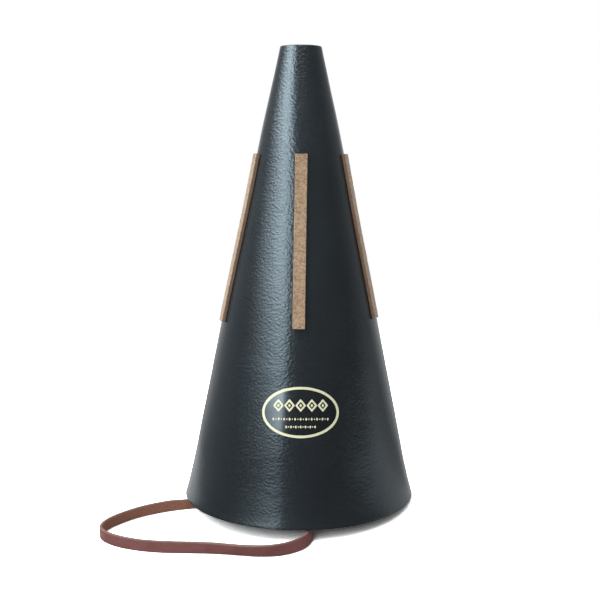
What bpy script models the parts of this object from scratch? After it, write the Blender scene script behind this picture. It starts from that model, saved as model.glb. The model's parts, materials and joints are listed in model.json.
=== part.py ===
"""Straight mute for a French horn: a cone rolled from board, closed by a plate at its wide end.

Five cork strips seat it in the bell, and a leather wrist strap is riveted to the plate. The mute stands
as it is put down in use: the strap runs out under the rim on its edge, so the cone leans back on it.
Sizes are in metres. A height is measured along the cone's own axis, up from the rim. An azimuth is
measured about that axis from the front, which is -Y, towards +X.
"""

import math

import bmesh
import bpy
import numpy as np
from mathutils import Matrix, Vector

# Cone, rolled from one sheet of board
LENGTH = 0.280  # rim to narrow end
RIM_RADIUS = 0.0721  # outside, at the wide end
TIP_RADIUS = 0.01285  # outside, at the narrow end
WALL = 0.0022  # square to the surface
CUT_EDGE = 0.0004  # bevel on the cut edges of the board
LAP_STEP = 0.0005  # height of the sheet's outer edge where it laps over itself
LAP_ANGLE = math.radians(15)  # the skived lap fades out over this angle
LAP_AZIMUTH = math.radians(180)  # the seam is at the back

# Closed wide end
PLATE_DEPTH = 0.0095  # rim to the plate's underside
PLATE_THICKNESS = 0.0030
HOOP_THICKNESS = 0.0018  # board hoop that doubles the rim below the plate

# Cork strips
CORK_COUNT = 5
CORK_FOOT = 0.1138  # height of the strips' lower ends
CORK_LENGTH = 0.1030  # along the slope
CORK_WIDTH = 0.0076
CORK_THICKNESS = 0.0025
CORK_BEVEL = 0.0003

# Rivet that holds both ends of the strap
SHANK_RADIUS = 0.0015
HEAD_RADIUS = 0.0045
HEAD_HEIGHT = 0.0016
TAIL_RADIUS = 0.0027
TAIL_HEIGHT = 0.0010
WASHER_RADIUS = 0.0050
WASHER_THICKNESS = 0.0006
HOLE_CLEARANCE = 0.0002  # between the shank and each hole

# Strap
STRAP_WIDTH = 0.0065
STRAP_THICKNESS = 0.0020
STRAP_BEVEL = 0.0003
STRAP_TAIL = 0.0065  # cut end to the rivet
STRAP_FLAT = 0.0060  # length past the rivet that still lies flat on the plate
STRAP_SPACING = 0.0045  # between the points of its centreline

# The strap's middle where it stands on its edge: x, y and how far its top leans into the loop, in degrees.
# It starts below the plate, goes out under the rim, round the loop, and back in under the rim.
STRAP_ROUTE = [
    (-0.0465, -0.0126, 0.0),
    (-0.0566, -0.0141, 0.0),
    (-0.0661, -0.0158, 0.0),
    (-0.0761, -0.0180, 0.0),
    (-0.0874, -0.0220, 2.0),
    (-0.0991, -0.0286, 6.0),
    (-0.1099, -0.0384, 7.0),
    (-0.1164, -0.0483, 4.0),
    (-0.1173, -0.0569, 0.0),
    (-0.1133, -0.0642, 0.0),
    (-0.1047, -0.0711, 0.0),
    (-0.0912, -0.0774, -1.0),
    (-0.0775, -0.0806, 0.0),
    (-0.0619, -0.0826, -4.0),
    (-0.0464, -0.0849, -10.0),
    (-0.0332, -0.0881, -16.0),
    (-0.0221, -0.0899, -10.0),
    (-0.0116, -0.0891, 0.0),
    (-0.0029, -0.0852, 8.0),
    (0.0029, -0.0794, 16.0),
    (0.0058, -0.0725, 20.0),
    (0.0070, -0.0645, 20.0),
    (0.0072, -0.0560, 16.0),
]

FIT = 0.0003  # gap that pieces keep where they touch
ON_EDGE = 90.0  # roll of the strap on its edge, in degrees, where flat is none
SEGMENTS = 96  # round the cone
SMALL_SEGMENTS = 32  # round the rivet and its washers

HALF_ANGLE = math.atan((RIM_RADIUS - TIP_RADIUS) / LENGTH)
SHANK_HOLE = SHANK_RADIUS + HOLE_CLEARANCE

# Levels on the rivet's axis, in heights, from the top washer down to the head
PLATE_TOP = PLATE_DEPTH + PLATE_THICKNESS
INNER_WASHER = PLATE_TOP + FIT
TAIL_SEAT = INNER_WASHER + WASHER_THICKNESS + FIT
FIRST_END = PLATE_DEPTH - FIT - STRAP_THICKNESS / 2
SECOND_END = FIRST_END - STRAP_THICKNESS - FIT
OUTER_WASHER = SECOND_END - STRAP_THICKNESS / 2 - FIT - WASHER_THICKNESS
HEAD_SEAT = OUTER_WASHER - FIT


def outer_radius(height):
    """Outside of the cone at a height."""
    return RIM_RADIUS - height * math.tan(HALF_ANGLE)


def inner_radius(height):
    """Bore of the cone at a height."""
    return outer_radius(height) - WALL / math.cos(HALF_ANGLE)


def beside_wall(height):
    """Radius of a piece that seats against the bore at a height."""
    return inner_radius(height) - FIT / math.cos(HALF_ANGLE)


def direction(azimuth):
    """Unit vector away from the axis."""
    return Vector((math.sin(azimuth), -math.cos(azimuth), 0.0))


def rim_pass(route):
    """Azimuth at which a stretch of the route, given from the inside out, goes under the rim."""
    for (x0, y0, _), (x1, y1, _) in zip(route, route[1:]):
        r0, r1 = math.hypot(x0, y0), math.hypot(x1, y1)
        if r0 <= RIM_RADIUS < r1:
            share = (RIM_RADIUS - r0) / (r1 - r0)
            return math.atan2(x0 + share * (x1 - x0), -y0 - share * (y1 - y0))
    raise ValueError("the strap never goes under the rim")


def stance():
    """How the mute stands: the rim's far side on the surface, its near side on the strap's two passes.

    The axis is tilted about the base's centre, which is raised until the rim's far side touches the surface.
    """
    first, second = rim_pass(STRAP_ROUTE), rim_pass(STRAP_ROUTE[::-1])
    middle, half = (first + second) / 2, abs(second - first) / 2
    hoop_bore = beside_wall(0.0) - HOOP_THICKNESS
    lift = max(strap_height(ON_EDGE - lean) for _, _, lean in STRAP_ROUTE) + FIT
    tilt = math.asin(lift / (RIM_RADIUS + hoop_bore * math.cos(half)))
    axis = direction(middle).cross(Vector((0.0, 0.0, 1.0)))
    raised = Matrix.Translation((0.0, 0.0, RIM_RADIUS * math.sin(tilt)))
    return raised @ Matrix.Rotation(tilt, 4, axis)


def strap_height(roll):
    """Height of the strap's section, turned by some degrees from lying flat."""
    turned = np.radians(roll)
    return STRAP_WIDTH * np.abs(np.sin(turned)) + STRAP_THICKNESS * np.abs(np.cos(turned))


def material(name, colour, roughness, metallic=0.0):
    """A plain Principled material."""
    made = bpy.data.materials.new(name)
    made.use_nodes = True
    shader = made.node_tree.nodes["Principled BSDF"]
    shader.inputs["Base Color"].default_value = (*colour, 1.0)
    shader.inputs["Roughness"].default_value = roughness
    shader.inputs["Metallic"].default_value = metallic
    return made


def add_piece(name, mesh, finish, parent=None):
    """Puts a mesh in the parts collection as one named piece."""
    piece = bpy.data.objects.new(name, mesh)
    parts.objects.link(piece)
    mesh.materials.clear()
    mesh.materials.append(finish)
    piece.parent = parent
    mesh.shade_smooth()
    mesh.set_sharp_from_angle(angle=math.radians(30))
    return piece


def turned(name, profile, finish, parent, steps=SMALL_SEGMENTS, closed=False):
    """A turned piece: a profile of (radius, height) points, down its outer side, with a Screw modifier."""
    edges = [(i, i + 1) for i in range(len(profile) - 1)]
    if closed:
        edges.append((len(profile) - 1, 0))
    mesh = bpy.data.meshes.new(name)
    mesh.from_pydata([(r, 0.0, h) for r, h in profile], edges, [])
    piece = add_piece(name, mesh, finish, parent)
    screw = piece.modifiers.new("turn", "SCREW")
    screw.steps = screw.render_steps = steps
    screw.use_merge_vertices = True
    screw.merge_threshold = 0.00001
    return piece


def cutter(piece):
    """Marks an object as one that only cuts others."""
    for collection in piece.users_collection:
        collection.objects.unlink(piece)
    cutters.objects.link(piece)
    piece.hide_render = True
    piece.display_type = "WIRE"
    return piece


def cut(piece, tool):
    """Takes the tool's shape out of a piece."""
    boolean = piece.modifiers.new(tool.name, "BOOLEAN")
    boolean.operation = "DIFFERENCE"
    boolean.solver = "EXACT"
    boolean.object = tool


def as_mesh(piece, name):
    """The evaluated shape of an object in its own frame, with loose caps welded."""
    bpy.context.view_layer.update()
    mesh = bpy.data.meshes.new_from_object(piece.evaluated_get(bpy.context.evaluated_depsgraph_get()))
    mesh.name = name
    shape = bmesh.new()
    shape.from_mesh(mesh)
    bmesh.ops.remove_doubles(shape, verts=shape.verts, dist=0.000001)
    shape.to_mesh(mesh)
    shape.free()
    return mesh


def cone_shell(finish, parent):
    """The rolled board: rings up the outside and down the bore, the outer ones with the lap's step."""
    rings = [
        (outer_radius(0.0) - CUT_EDGE, 0.0, True),
        (outer_radius(CUT_EDGE), CUT_EDGE, True),
        (outer_radius(LENGTH - CUT_EDGE), LENGTH - CUT_EDGE, True),
        (outer_radius(LENGTH) - CUT_EDGE, LENGTH, True),
        (inner_radius(LENGTH), LENGTH, False),
        (inner_radius(0.0), 0.0, False),
    ]
    turns = np.linspace(0.0, 2.0 * math.pi, SEGMENTS + 1)
    lap = LAP_STEP * np.clip(1.0 - turns / LAP_ANGLE, 0.0, 1.0)
    shell = bmesh.new()
    rows = []
    for radius, height, outside in rings:
        reach = radius + lap * outside
        across, away = reach * np.sin(LAP_AZIMUTH + turns), -reach * np.cos(LAP_AZIMUTH + turns)
        rows.append([shell.verts.new((x, y, height)) for x, y in zip(across, away)])
    for low, high in zip(rows, rows[1:] + rows[:1]):
        for i in range(SEGMENTS + 1):
            j = (i + 1) % (SEGMENTS + 1)
            shell.faces.new((low[i], low[j], high[j], high[i]))
    bmesh.ops.remove_doubles(shell, verts=shell.verts, dist=0.000001)
    mesh = bpy.data.meshes.new("cone_shell")
    shell.to_mesh(mesh)
    shell.free()
    return add_piece("cone_shell", mesh, finish, parent)


def base_plate(finish, parent):
    """The disc that closes the wide end, its edge turned to the bore's taper, with a hole for the rivet."""
    profile = [(0.0, PLATE_TOP), (beside_wall(PLATE_TOP), PLATE_TOP)]
    profile += [(beside_wall(PLATE_DEPTH), PLATE_DEPTH), (0.0, PLATE_DEPTH)]
    plate = turned("base_plate", profile, finish, parent, SEGMENTS)
    drill = rivet_drill("plate_drill", parent)
    cut(plate, drill)
    return plate


def rivet_drill(name, parent):
    """A cutter for the rivet's hole."""
    bpy.ops.mesh.primitive_cylinder_add(vertices=SMALL_SEGMENTS, radius=SHANK_HOLE, depth=4 * PLATE_TOP)
    drill = bpy.context.object
    drill.name = name
    drill.parent = parent
    return cutter(drill)


def base_hoop(finish, parent):
    """The hoop of board glued in below the plate, level with the rim."""
    top = PLATE_DEPTH - FIT
    outer = [(beside_wall(top), top), (beside_wall(0.0), 0.0)]
    profile = outer + [(r - HOOP_THICKNESS, h) for r, h in reversed(outer)]
    return turned("base_hoop", profile, finish, parent, SEGMENTS, closed=True)


def cork_strips(finish, parent):
    """Strips glued along the slope, hollowed underneath to the cone, the first one at the front."""
    spare = 0.25 * CORK_THICKNESS + CORK_WIDTH**2 / (8 * outer_radius(CORK_FOOT + CORK_LENGTH))
    depth = CORK_THICKNESS + FIT + spare
    middle = CORK_FOOT + CORK_LENGTH * math.cos(HALF_ANGLE) / 2
    outwards = Vector((0.0, -math.cos(HALF_ANGLE), math.sin(HALF_ANGLE)))
    on_cone = Vector((0.0, -outer_radius(middle), middle))
    bpy.ops.mesh.primitive_cube_add(size=1.0)
    blank = bpy.context.object
    blank.data.transform(Matrix.Diagonal((CORK_WIDTH, depth, CORK_LENGTH, 1.0)))
    blank.rotation_euler.x = -HALF_ANGLE
    blank.location = on_cone + outwards * (FIT + CORK_THICKNESS - depth / 2)
    bevel = blank.modifiers.new("edges", "BEVEL")
    bevel.width = CORK_BEVEL
    bevel.segments = 1
    grown = FIT / math.cos(HALF_ANGLE)
    bpy.ops.mesh.primitive_cone_add(
        vertices=SEGMENTS,
        radius1=RIM_RADIUS + grown,
        radius2=TIP_RADIUS + grown,
        depth=LENGTH,
        location=(0.0, 0.0, LENGTH / 2),
    )
    seat = cutter(bpy.context.object)
    seat.name = "cork_seat"
    cut(blank, seat)
    mesh = as_mesh(blank, "cork_strip")
    mesh.transform(blank.matrix_world)
    bpy.data.objects.remove(blank)
    for i in range(CORK_COUNT):
        strip = add_piece(f"cork_strip_{i + 1}", mesh, finish, parent)
        strip.rotation_euler.z = 2 * math.pi * i / CORK_COUNT


def rivet(finish, parent):
    """The rivet through plate and strap, its head below and its tail spread over the inner washer."""
    tail_top, head_foot = TAIL_SEAT + TAIL_HEIGHT, HEAD_SEAT - HEAD_HEIGHT
    profile = [
        (0.0, tail_top),
        (0.7 * TAIL_RADIUS, tail_top),
        (TAIL_RADIUS, TAIL_SEAT + 0.4 * TAIL_HEIGHT),
        (TAIL_RADIUS, TAIL_SEAT),
        (SHANK_RADIUS, TAIL_SEAT),
        (SHANK_RADIUS, HEAD_SEAT),
        (HEAD_RADIUS, HEAD_SEAT),
    ]
    dome = [math.radians(a) for a in (20, 40, 60, 75)]
    profile += [(HEAD_RADIUS * math.cos(a), HEAD_SEAT - HEAD_HEIGHT * math.sin(a)) for a in dome]
    profile.append((0.0, head_foot))
    turned("strap_rivet", profile, finish, parent)
    for name, foot in (("inner_washer", INNER_WASHER), ("outer_washer", OUTER_WASHER)):
        outer = [(WASHER_RADIUS, foot + WASHER_THICKNESS), (WASHER_RADIUS, foot)]
        bore = [(SHANK_HOLE, foot), (SHANK_HOLE, foot + WASHER_THICKNESS)]
        turned(name, outer + bore, finish, parent, closed=True)


def smooth_line(points, spacing):
    """Evenly spaced points on the natural cubic spline through some points, over their chord length."""
    points = np.array(points)
    along = np.concatenate([[0.0], np.cumsum(np.linalg.norm(np.diff(points[:, :3], axis=0), axis=1))])
    step = np.diff(along)
    slope = np.diff(points, axis=0) / step[:, None]
    count = len(points)
    system, right = np.eye(count), np.zeros_like(points)
    for i in range(1, count - 1):
        system[i, i - 1 : i + 2] = step[i - 1], 2 * (step[i - 1] + step[i]), step[i]
        right[i] = 6 * (slope[i] - slope[i - 1])
    bend = np.linalg.solve(system, right)
    at = np.linspace(0.0, along[-1], round(along[-1] / spacing) + 1)
    i = np.clip(np.searchsorted(along, at, side="right") - 1, 0, count - 2)
    before, after, width = (at - along[i])[:, None], (along[i + 1] - at)[:, None], step[i][:, None]
    cubic = (bend[i] * after**3 + bend[i + 1] * before**3) / (6 * width)
    low = (points[i] / width - bend[i] * width / 6) * after
    high = (points[i + 1] / width - bend[i + 1] * width / 6) * before
    return cubic + low + high


def strap_end(level, towards, stands):
    """Points of one end of the strap, flat against the plate: x, y, z and roll, from its cut end outwards."""
    bearing = math.atan2(towards[0], -towards[1])
    rows = []
    for reach in (-STRAP_TAIL, -0.4 * STRAP_TAIL, 0.3 * STRAP_FLAT, STRAP_FLAT):
        place = stands @ (direction(bearing) * reach + Vector((0.0, 0.0, level)))
        rows.append((*place, 0.0))
    return rows


def wrist_strap(finish, stands):
    """The strap: a flat band carried along its centreline, turned from lying flat to standing on its edge."""
    rolls = [ON_EDGE - lean for _, _, lean in STRAP_ROUTE]
    on_edge = [(x, y, strap_height(roll) / 2, roll) for (x, y, _), roll in zip(STRAP_ROUTE, rolls)]
    first_end = strap_end(FIRST_END, STRAP_ROUTE[0], stands)
    second_end = strap_end(SECOND_END, STRAP_ROUTE[-1], stands)
    line = smooth_line(first_end + on_edge + second_end[::-1], STRAP_SPACING)
    line[:, 2] = np.maximum(line[:, 2], strap_height(line[:, 3]) / 2)
    curve = bpy.data.curves.new("strap_line", "CURVE")
    curve.dimensions = "3D"
    curve.twist_mode = "Z_UP"
    spline = curve.splines.new("POLY")
    spline.points.add(len(line) - 1)
    for point, (x, y, z, roll) in zip(spline.points, line):
        point.co = (x, y, z, 1.0)
        point.tilt = math.radians(roll)
    curve.bevel_mode = "OBJECT"
    curve.bevel_object = strap_section()
    curve.use_fill_caps = True
    guide = bpy.data.objects.new("strap_line", curve)
    parts.objects.link(guide)
    mesh = as_mesh(guide, "wrist_strap")
    bpy.data.objects.remove(guide)
    strap = add_piece("wrist_strap", mesh, finish)
    drill = rivet_drill("strap_drill", None)
    drill.matrix_world = stands
    cut(strap, drill)
    return strap


def strap_section():
    """The band's cut section: a rectangle with bevelled edges."""
    half_width, half_thickness = STRAP_WIDTH / 2, STRAP_THICKNESS / 2
    corners = []
    for x, y in ((1, 1), (1, -1), (-1, -1), (-1, 1)):
        along = (x * (half_width - STRAP_BEVEL), y * half_thickness)
        up = (x * half_width, y * (half_thickness - STRAP_BEVEL))
        corners += [along, up] if x * y > 0 else [up, along]
    outline = bpy.data.curves.new("strap_section", "CURVE")
    outline.dimensions = "2D"
    spline = outline.splines.new("POLY")
    spline.points.add(len(corners) - 1)
    spline.use_cyclic_u = True
    for point, (x, y) in zip(spline.points, corners):
        point.co = (x, y, 0.0, 1.0)
    section = bpy.data.objects.new("strap_section", outline)
    cutters.objects.link(section)
    section.hide_render = True
    return section


for old in list(bpy.data.objects):
    bpy.data.objects.remove(old)
parts = bpy.data.collections.new("french_horn_straight_mute")
cutters = bpy.data.collections.new("cutters")
bpy.context.scene.collection.children.link(parts)
bpy.context.scene.collection.children.link(cutters)

lacquered_board = material("lacquered_board", (0.018, 0.022, 0.025), 0.35)
plain_board = material("plain_board", (0.030, 0.028, 0.026), 0.85)
cork = material("cork", (0.42, 0.27, 0.17), 0.9)
leather = material("leather", (0.17, 0.055, 0.045), 0.55)
brass = material("brass", (0.78, 0.60, 0.30), 0.3, 1.0)

stands_as = stance()
mute = bpy.data.objects.new("mute", None)
parts.objects.link(mute)
mute.matrix_world = stands_as

cone_shell(lacquered_board, mute)
base_plate(plain_board, mute)
base_hoop(plain_board, mute)
cork_strips(cork, mute)
rivet(brass, mute)
wrist_strap(leather, stands_as)
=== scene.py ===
"""A French horn straight mute, finished and lit.

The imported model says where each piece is. Each piece is built again here as a finer surface with its own
finish, in metres and in the same frame: +Z up, and the label at the front, which is -Y. Places on the
mute are worked out in its own frame, whose height runs up the cone's axis from the rim and whose azimuth
runs from the front towards +X. They are then set down as the mute stands, leaning back on its strap.
"""

from __future__ import annotations

import json
import logging
import math
from dataclasses import dataclass, field
from enum import Enum

import bpy
import numpy as np
from mathutils import Matrix

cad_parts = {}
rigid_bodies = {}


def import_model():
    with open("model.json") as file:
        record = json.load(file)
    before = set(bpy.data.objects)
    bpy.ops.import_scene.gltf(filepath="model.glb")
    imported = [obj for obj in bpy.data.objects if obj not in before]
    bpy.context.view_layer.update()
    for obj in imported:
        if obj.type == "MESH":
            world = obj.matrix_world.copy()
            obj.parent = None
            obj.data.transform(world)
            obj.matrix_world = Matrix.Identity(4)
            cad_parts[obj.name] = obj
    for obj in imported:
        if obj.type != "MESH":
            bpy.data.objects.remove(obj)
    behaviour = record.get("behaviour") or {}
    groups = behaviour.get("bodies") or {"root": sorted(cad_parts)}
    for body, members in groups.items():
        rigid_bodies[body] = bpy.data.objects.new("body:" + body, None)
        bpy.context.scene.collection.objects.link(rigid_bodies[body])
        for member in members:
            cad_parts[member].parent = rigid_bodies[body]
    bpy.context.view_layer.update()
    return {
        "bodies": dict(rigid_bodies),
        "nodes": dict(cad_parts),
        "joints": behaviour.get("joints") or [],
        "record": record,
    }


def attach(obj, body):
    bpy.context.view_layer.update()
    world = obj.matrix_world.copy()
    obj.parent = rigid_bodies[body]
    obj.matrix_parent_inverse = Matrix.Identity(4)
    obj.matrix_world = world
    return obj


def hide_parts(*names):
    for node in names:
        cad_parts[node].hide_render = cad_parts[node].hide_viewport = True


log = logging.getLogger("mute")

MM = 0.001
UP = np.array([0.0, 0.0, 1.0])
BODY = "root"

Colour = tuple[float, float, float]
WHITE: Colour = (1.0, 1.0, 1.0)


def shade(red: int, green: int, blue: int) -> Colour:
    """The linear colour of an eight-bit screen colour, by the usual power curve with its straight foot."""
    parts = [channel / 255.0 for channel in (red, green, blue)]
    return tuple(c / 12.92 if c <= 0.04045 else ((c + 0.055) / 1.055) ** 2.4 for c in parts)


def ease(values: np.ndarray, low: float, high: float) -> np.ndarray:
    """Smooth step: 0 up to low, 1 from high, and 3t^2 - 2t^3 between them."""
    t = np.clip((values - low) / (high - low), 0.0, 1.0)
    return t * t * (3.0 - 2.0 * t)


def slow_noise(points: np.ndarray, cell: float, seed: int) -> np.ndarray:
    """Smooth noise from -1 to 1 at some points.

    Random values sit on a cubic lattice. Each point blends the eight round it by the smooth step of its
    place in the cell, along each axis in turn.

    Args:
        points: Places, with x, y and z on the last axis.
        cell: Side of a lattice cell, in metres.
        seed: Seed of the random values.

    Returns:
        One value for each point.
    """
    size = 48
    table = np.random.default_rng(seed).uniform(-1.0, 1.0, (size, size, size))
    place = points / cell + 0.5 * size
    low = np.floor(place).astype(int)
    t = place - low
    t = t * t * (3.0 - 2.0 * t)
    total = np.zeros(points.shape[:-1])
    for corner in np.ndindex(2, 2, 2):
        weight = np.prod(np.where(corner, t, 1.0 - t), axis=-1)
        i, j, k = np.moveaxis((low + corner) % size, -1, 0)
        total += weight * table[i, j, k]
    return total


def walk(points: np.ndarray) -> np.ndarray:
    """Length of a line of points up to each of them: the running sum of its steps."""
    steps = np.linalg.norm(np.diff(points, axis=0), axis=1)
    return np.concatenate([[0.0], np.cumsum(steps)])


def outward(azimuth: np.ndarray) -> np.ndarray:
    """Unit vectors away from the mute's axis: (sin a, -cos a, 0)."""
    return np.stack([np.sin(azimuth), -np.cos(azimuth), np.zeros_like(azimuth)], axis=-1)


class Ends(Enum):
    """How the first and last rows of a grid are closed."""

    JOINED = "the last row joins the first, as the points round a ring's section do"
    POINTS = "each of the two rows is drawn together to one point, as at a pole"


@dataclass
class Shape:
    """A closed surface held as arrays.

    Attributes:
        points: Places, n by 3.
        quads: Corners of the four-sided faces, by point.
        triangles: Corners of the three-sided faces, by point.
        quad_places: Pattern place of each corner of the quads.
        triangle_places: Pattern place of each corner of the triangles.
        quad_bands: Which of the piece's materials each quad takes.
        triangle_bands: Which of the piece's materials each triangle takes.
        marks: One number a point, which a material can read.
    """

    points: np.ndarray
    quads: np.ndarray
    triangles: np.ndarray
    quad_places: np.ndarray
    triangle_places: np.ndarray
    quad_bands: np.ndarray
    triangle_bands: np.ndarray
    marks: np.ndarray

    def volume(self) -> float:
        """Signed volume: the sum over triangles of a . (b x c) / 6, which is positive if faces point out.

        Returns:
            The volume in cubic metres.
        """
        split = [self.quads[:, [0, 1, 2]], self.quads[:, [0, 2, 3]], self.triangles]
        a, b, c = (self.points[np.concatenate(split)[:, k]] for k in range(3))
        return float(np.sum(a * np.cross(b, c)) / 6.0)

    def turned_out(self) -> Shape:
        """The same surface with its faces pointing outwards."""
        if self.volume() < 0.0:
            self.quads, self.quad_places = self.quads[:, ::-1], self.quad_places[:, ::-1]
            self.triangles, self.triangle_places = self.triangles[:, ::-1], self.triangle_places[:, ::-1]
        return self


def grid_shape(
    points: np.ndarray,
    ends: Ends,
    places: np.ndarray | None = None,
    bands: np.ndarray | None = None,
    marks: np.ndarray | None = None,
) -> Shape:
    """Makes a closed surface of a grid whose last column always joins the first.

    Face i, j has the corners (i, j), (i, j + 1), (i + 1, j + 1) and (i + 1, j).

    Args:
        points: Rows by columns by 3.
        ends: How the first and last rows are closed.
        places: Pattern places, with one more column than points, and one more row if the ends are joined.
        bands: Material of each row of faces.
        marks: A number for each point.

    Returns:
        The surface, with its faces pointing outwards.
    """
    rows, columns = points.shape[:2]
    joined = int(ends is Ends.JOINED)
    if places is None:
        steps = np.meshgrid(np.arange(rows + joined), np.arange(columns + 1), indexing="ij")
        places = np.stack(steps, axis=-1) / max(rows, columns)
    if bands is None:
        bands = np.zeros(rows - 1 + joined, int)
    if marks is None:
        marks = np.zeros((rows, columns))
    index = np.arange(rows * columns).reshape(rows, columns)
    if not joined:
        points, marks = points.copy(), marks.copy()
        for row in (0, -1):
            index[row] = index[row, 0]
            points[row] = points[row].mean(axis=0)
            marks[row] = marks[row].mean()
    index = np.pad(index, ((0, joined), (0, 1)), mode="wrap")

    def corners(values: np.ndarray) -> np.ndarray:
        """The four corners' values of each face."""
        around = [values[:-1, :-1], values[:-1, 1:], values[1:, 1:], values[1:, :-1]]
        return np.stack(around, axis=2)

    faces, spots = corners(index), corners(places)
    kinds = np.repeat(bands[:, None], columns, axis=1)
    inner = slice(None) if joined else slice(1, -1)
    quads, quad_places = faces[inner].reshape(-1, 4), spots[inner].reshape(-1, 4, 2)
    tips = [] if joined else [(0, [0, 2, 3]), (-1, [0, 1, 2])]
    triangles = [faces[row][:, keep] for row, keep in tips] or [np.zeros((0, 3), int)]
    triangle_places = [spots[row][:, keep] for row, keep in tips] or [np.zeros((0, 3, 2))]
    triangle_bands = [kinds[row] for row, _ in tips] or [np.zeros(0, int)]
    triangles = np.concatenate(triangles)
    used, numbered = np.unique(np.concatenate([quads.ravel(), triangles.ravel()]), return_inverse=True)
    return Shape(
        points=points.reshape(-1, 3)[used],
        quads=numbered[: quads.size].reshape(-1, 4),
        triangles=numbered[quads.size :].reshape(-1, 3),
        quad_places=quad_places,
        triangle_places=np.concatenate(triangle_places),
        quad_bands=kinds[inner].ravel(),
        triangle_bands=np.concatenate(triangle_bands),
        marks=marks.reshape(-1)[used],
    ).turned_out()


def grid_normals(points: np.ndarray) -> np.ndarray:
    """Unit normals of a grid closed at two points: the cross product of its differences, turned outwards.

    Args:
        points: Rows by columns by 3.

    Returns:
        A normal for each point.
    """
    across = np.roll(points, -1, axis=1) - np.roll(points, 1, axis=1)
    along = np.gradient(points, axis=0)
    normals = np.cross(along, across)
    normals /= np.maximum(np.linalg.norm(normals, axis=-1, keepdims=True), 1e-12)
    centre = points.reshape(-1, 3).mean(axis=0)
    return normals * np.sign(np.sum(normals * (points - centre)))


class Value:
    """A number, colour or vector that varies over a surface: sums and products of numbers add Math nodes."""

    def __init__(self, recipe: Recipe, socket: bpy.types.NodeSocket) -> None:
        """Keeps the socket that gives the value, and the recipe that it belongs to."""
        self.recipe = recipe
        self.socket = socket

    def _math(self, operation: str, first: Value | float, second: Value | float) -> Value:
        """One Math node on two numbers."""
        return self.recipe.value("ShaderNodeMath", {"operation": operation}, {0: first, 1: second})

    def __add__(self, other: Value | float) -> Value:
        """This value plus another."""
        return self._math("ADD", self, other)

    def __radd__(self, other: float) -> Value:
        """A number plus this value."""
        return self._math("ADD", other, self)

    def __sub__(self, other: Value | float) -> Value:
        """This value less another."""
        return self._math("SUBTRACT", self, other)

    def __rsub__(self, other: float) -> Value:
        """A number less this value."""
        return self._math("SUBTRACT", other, self)

    def __mul__(self, other: Value | float) -> Value:
        """This value times another."""
        return self._math("MULTIPLY", self, other)

    def __rmul__(self, other: float) -> Value:
        """A number times this value."""
        return self._math("MULTIPLY", other, self)

    def either(self, other: Value) -> Value:
        """The larger of two values."""
        return self._math("MAXIMUM", self, other)

    def rise(self, low: float, high: float) -> Value:
        """0 up to low, 1 from high, with a smooth step between them; low may be the larger."""
        settings = {"interpolation_type": "SMOOTHSTEP"}
        return self.recipe.value("ShaderNodeMapRange", settings, {"Value": self, 1: low, 2: high})


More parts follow.
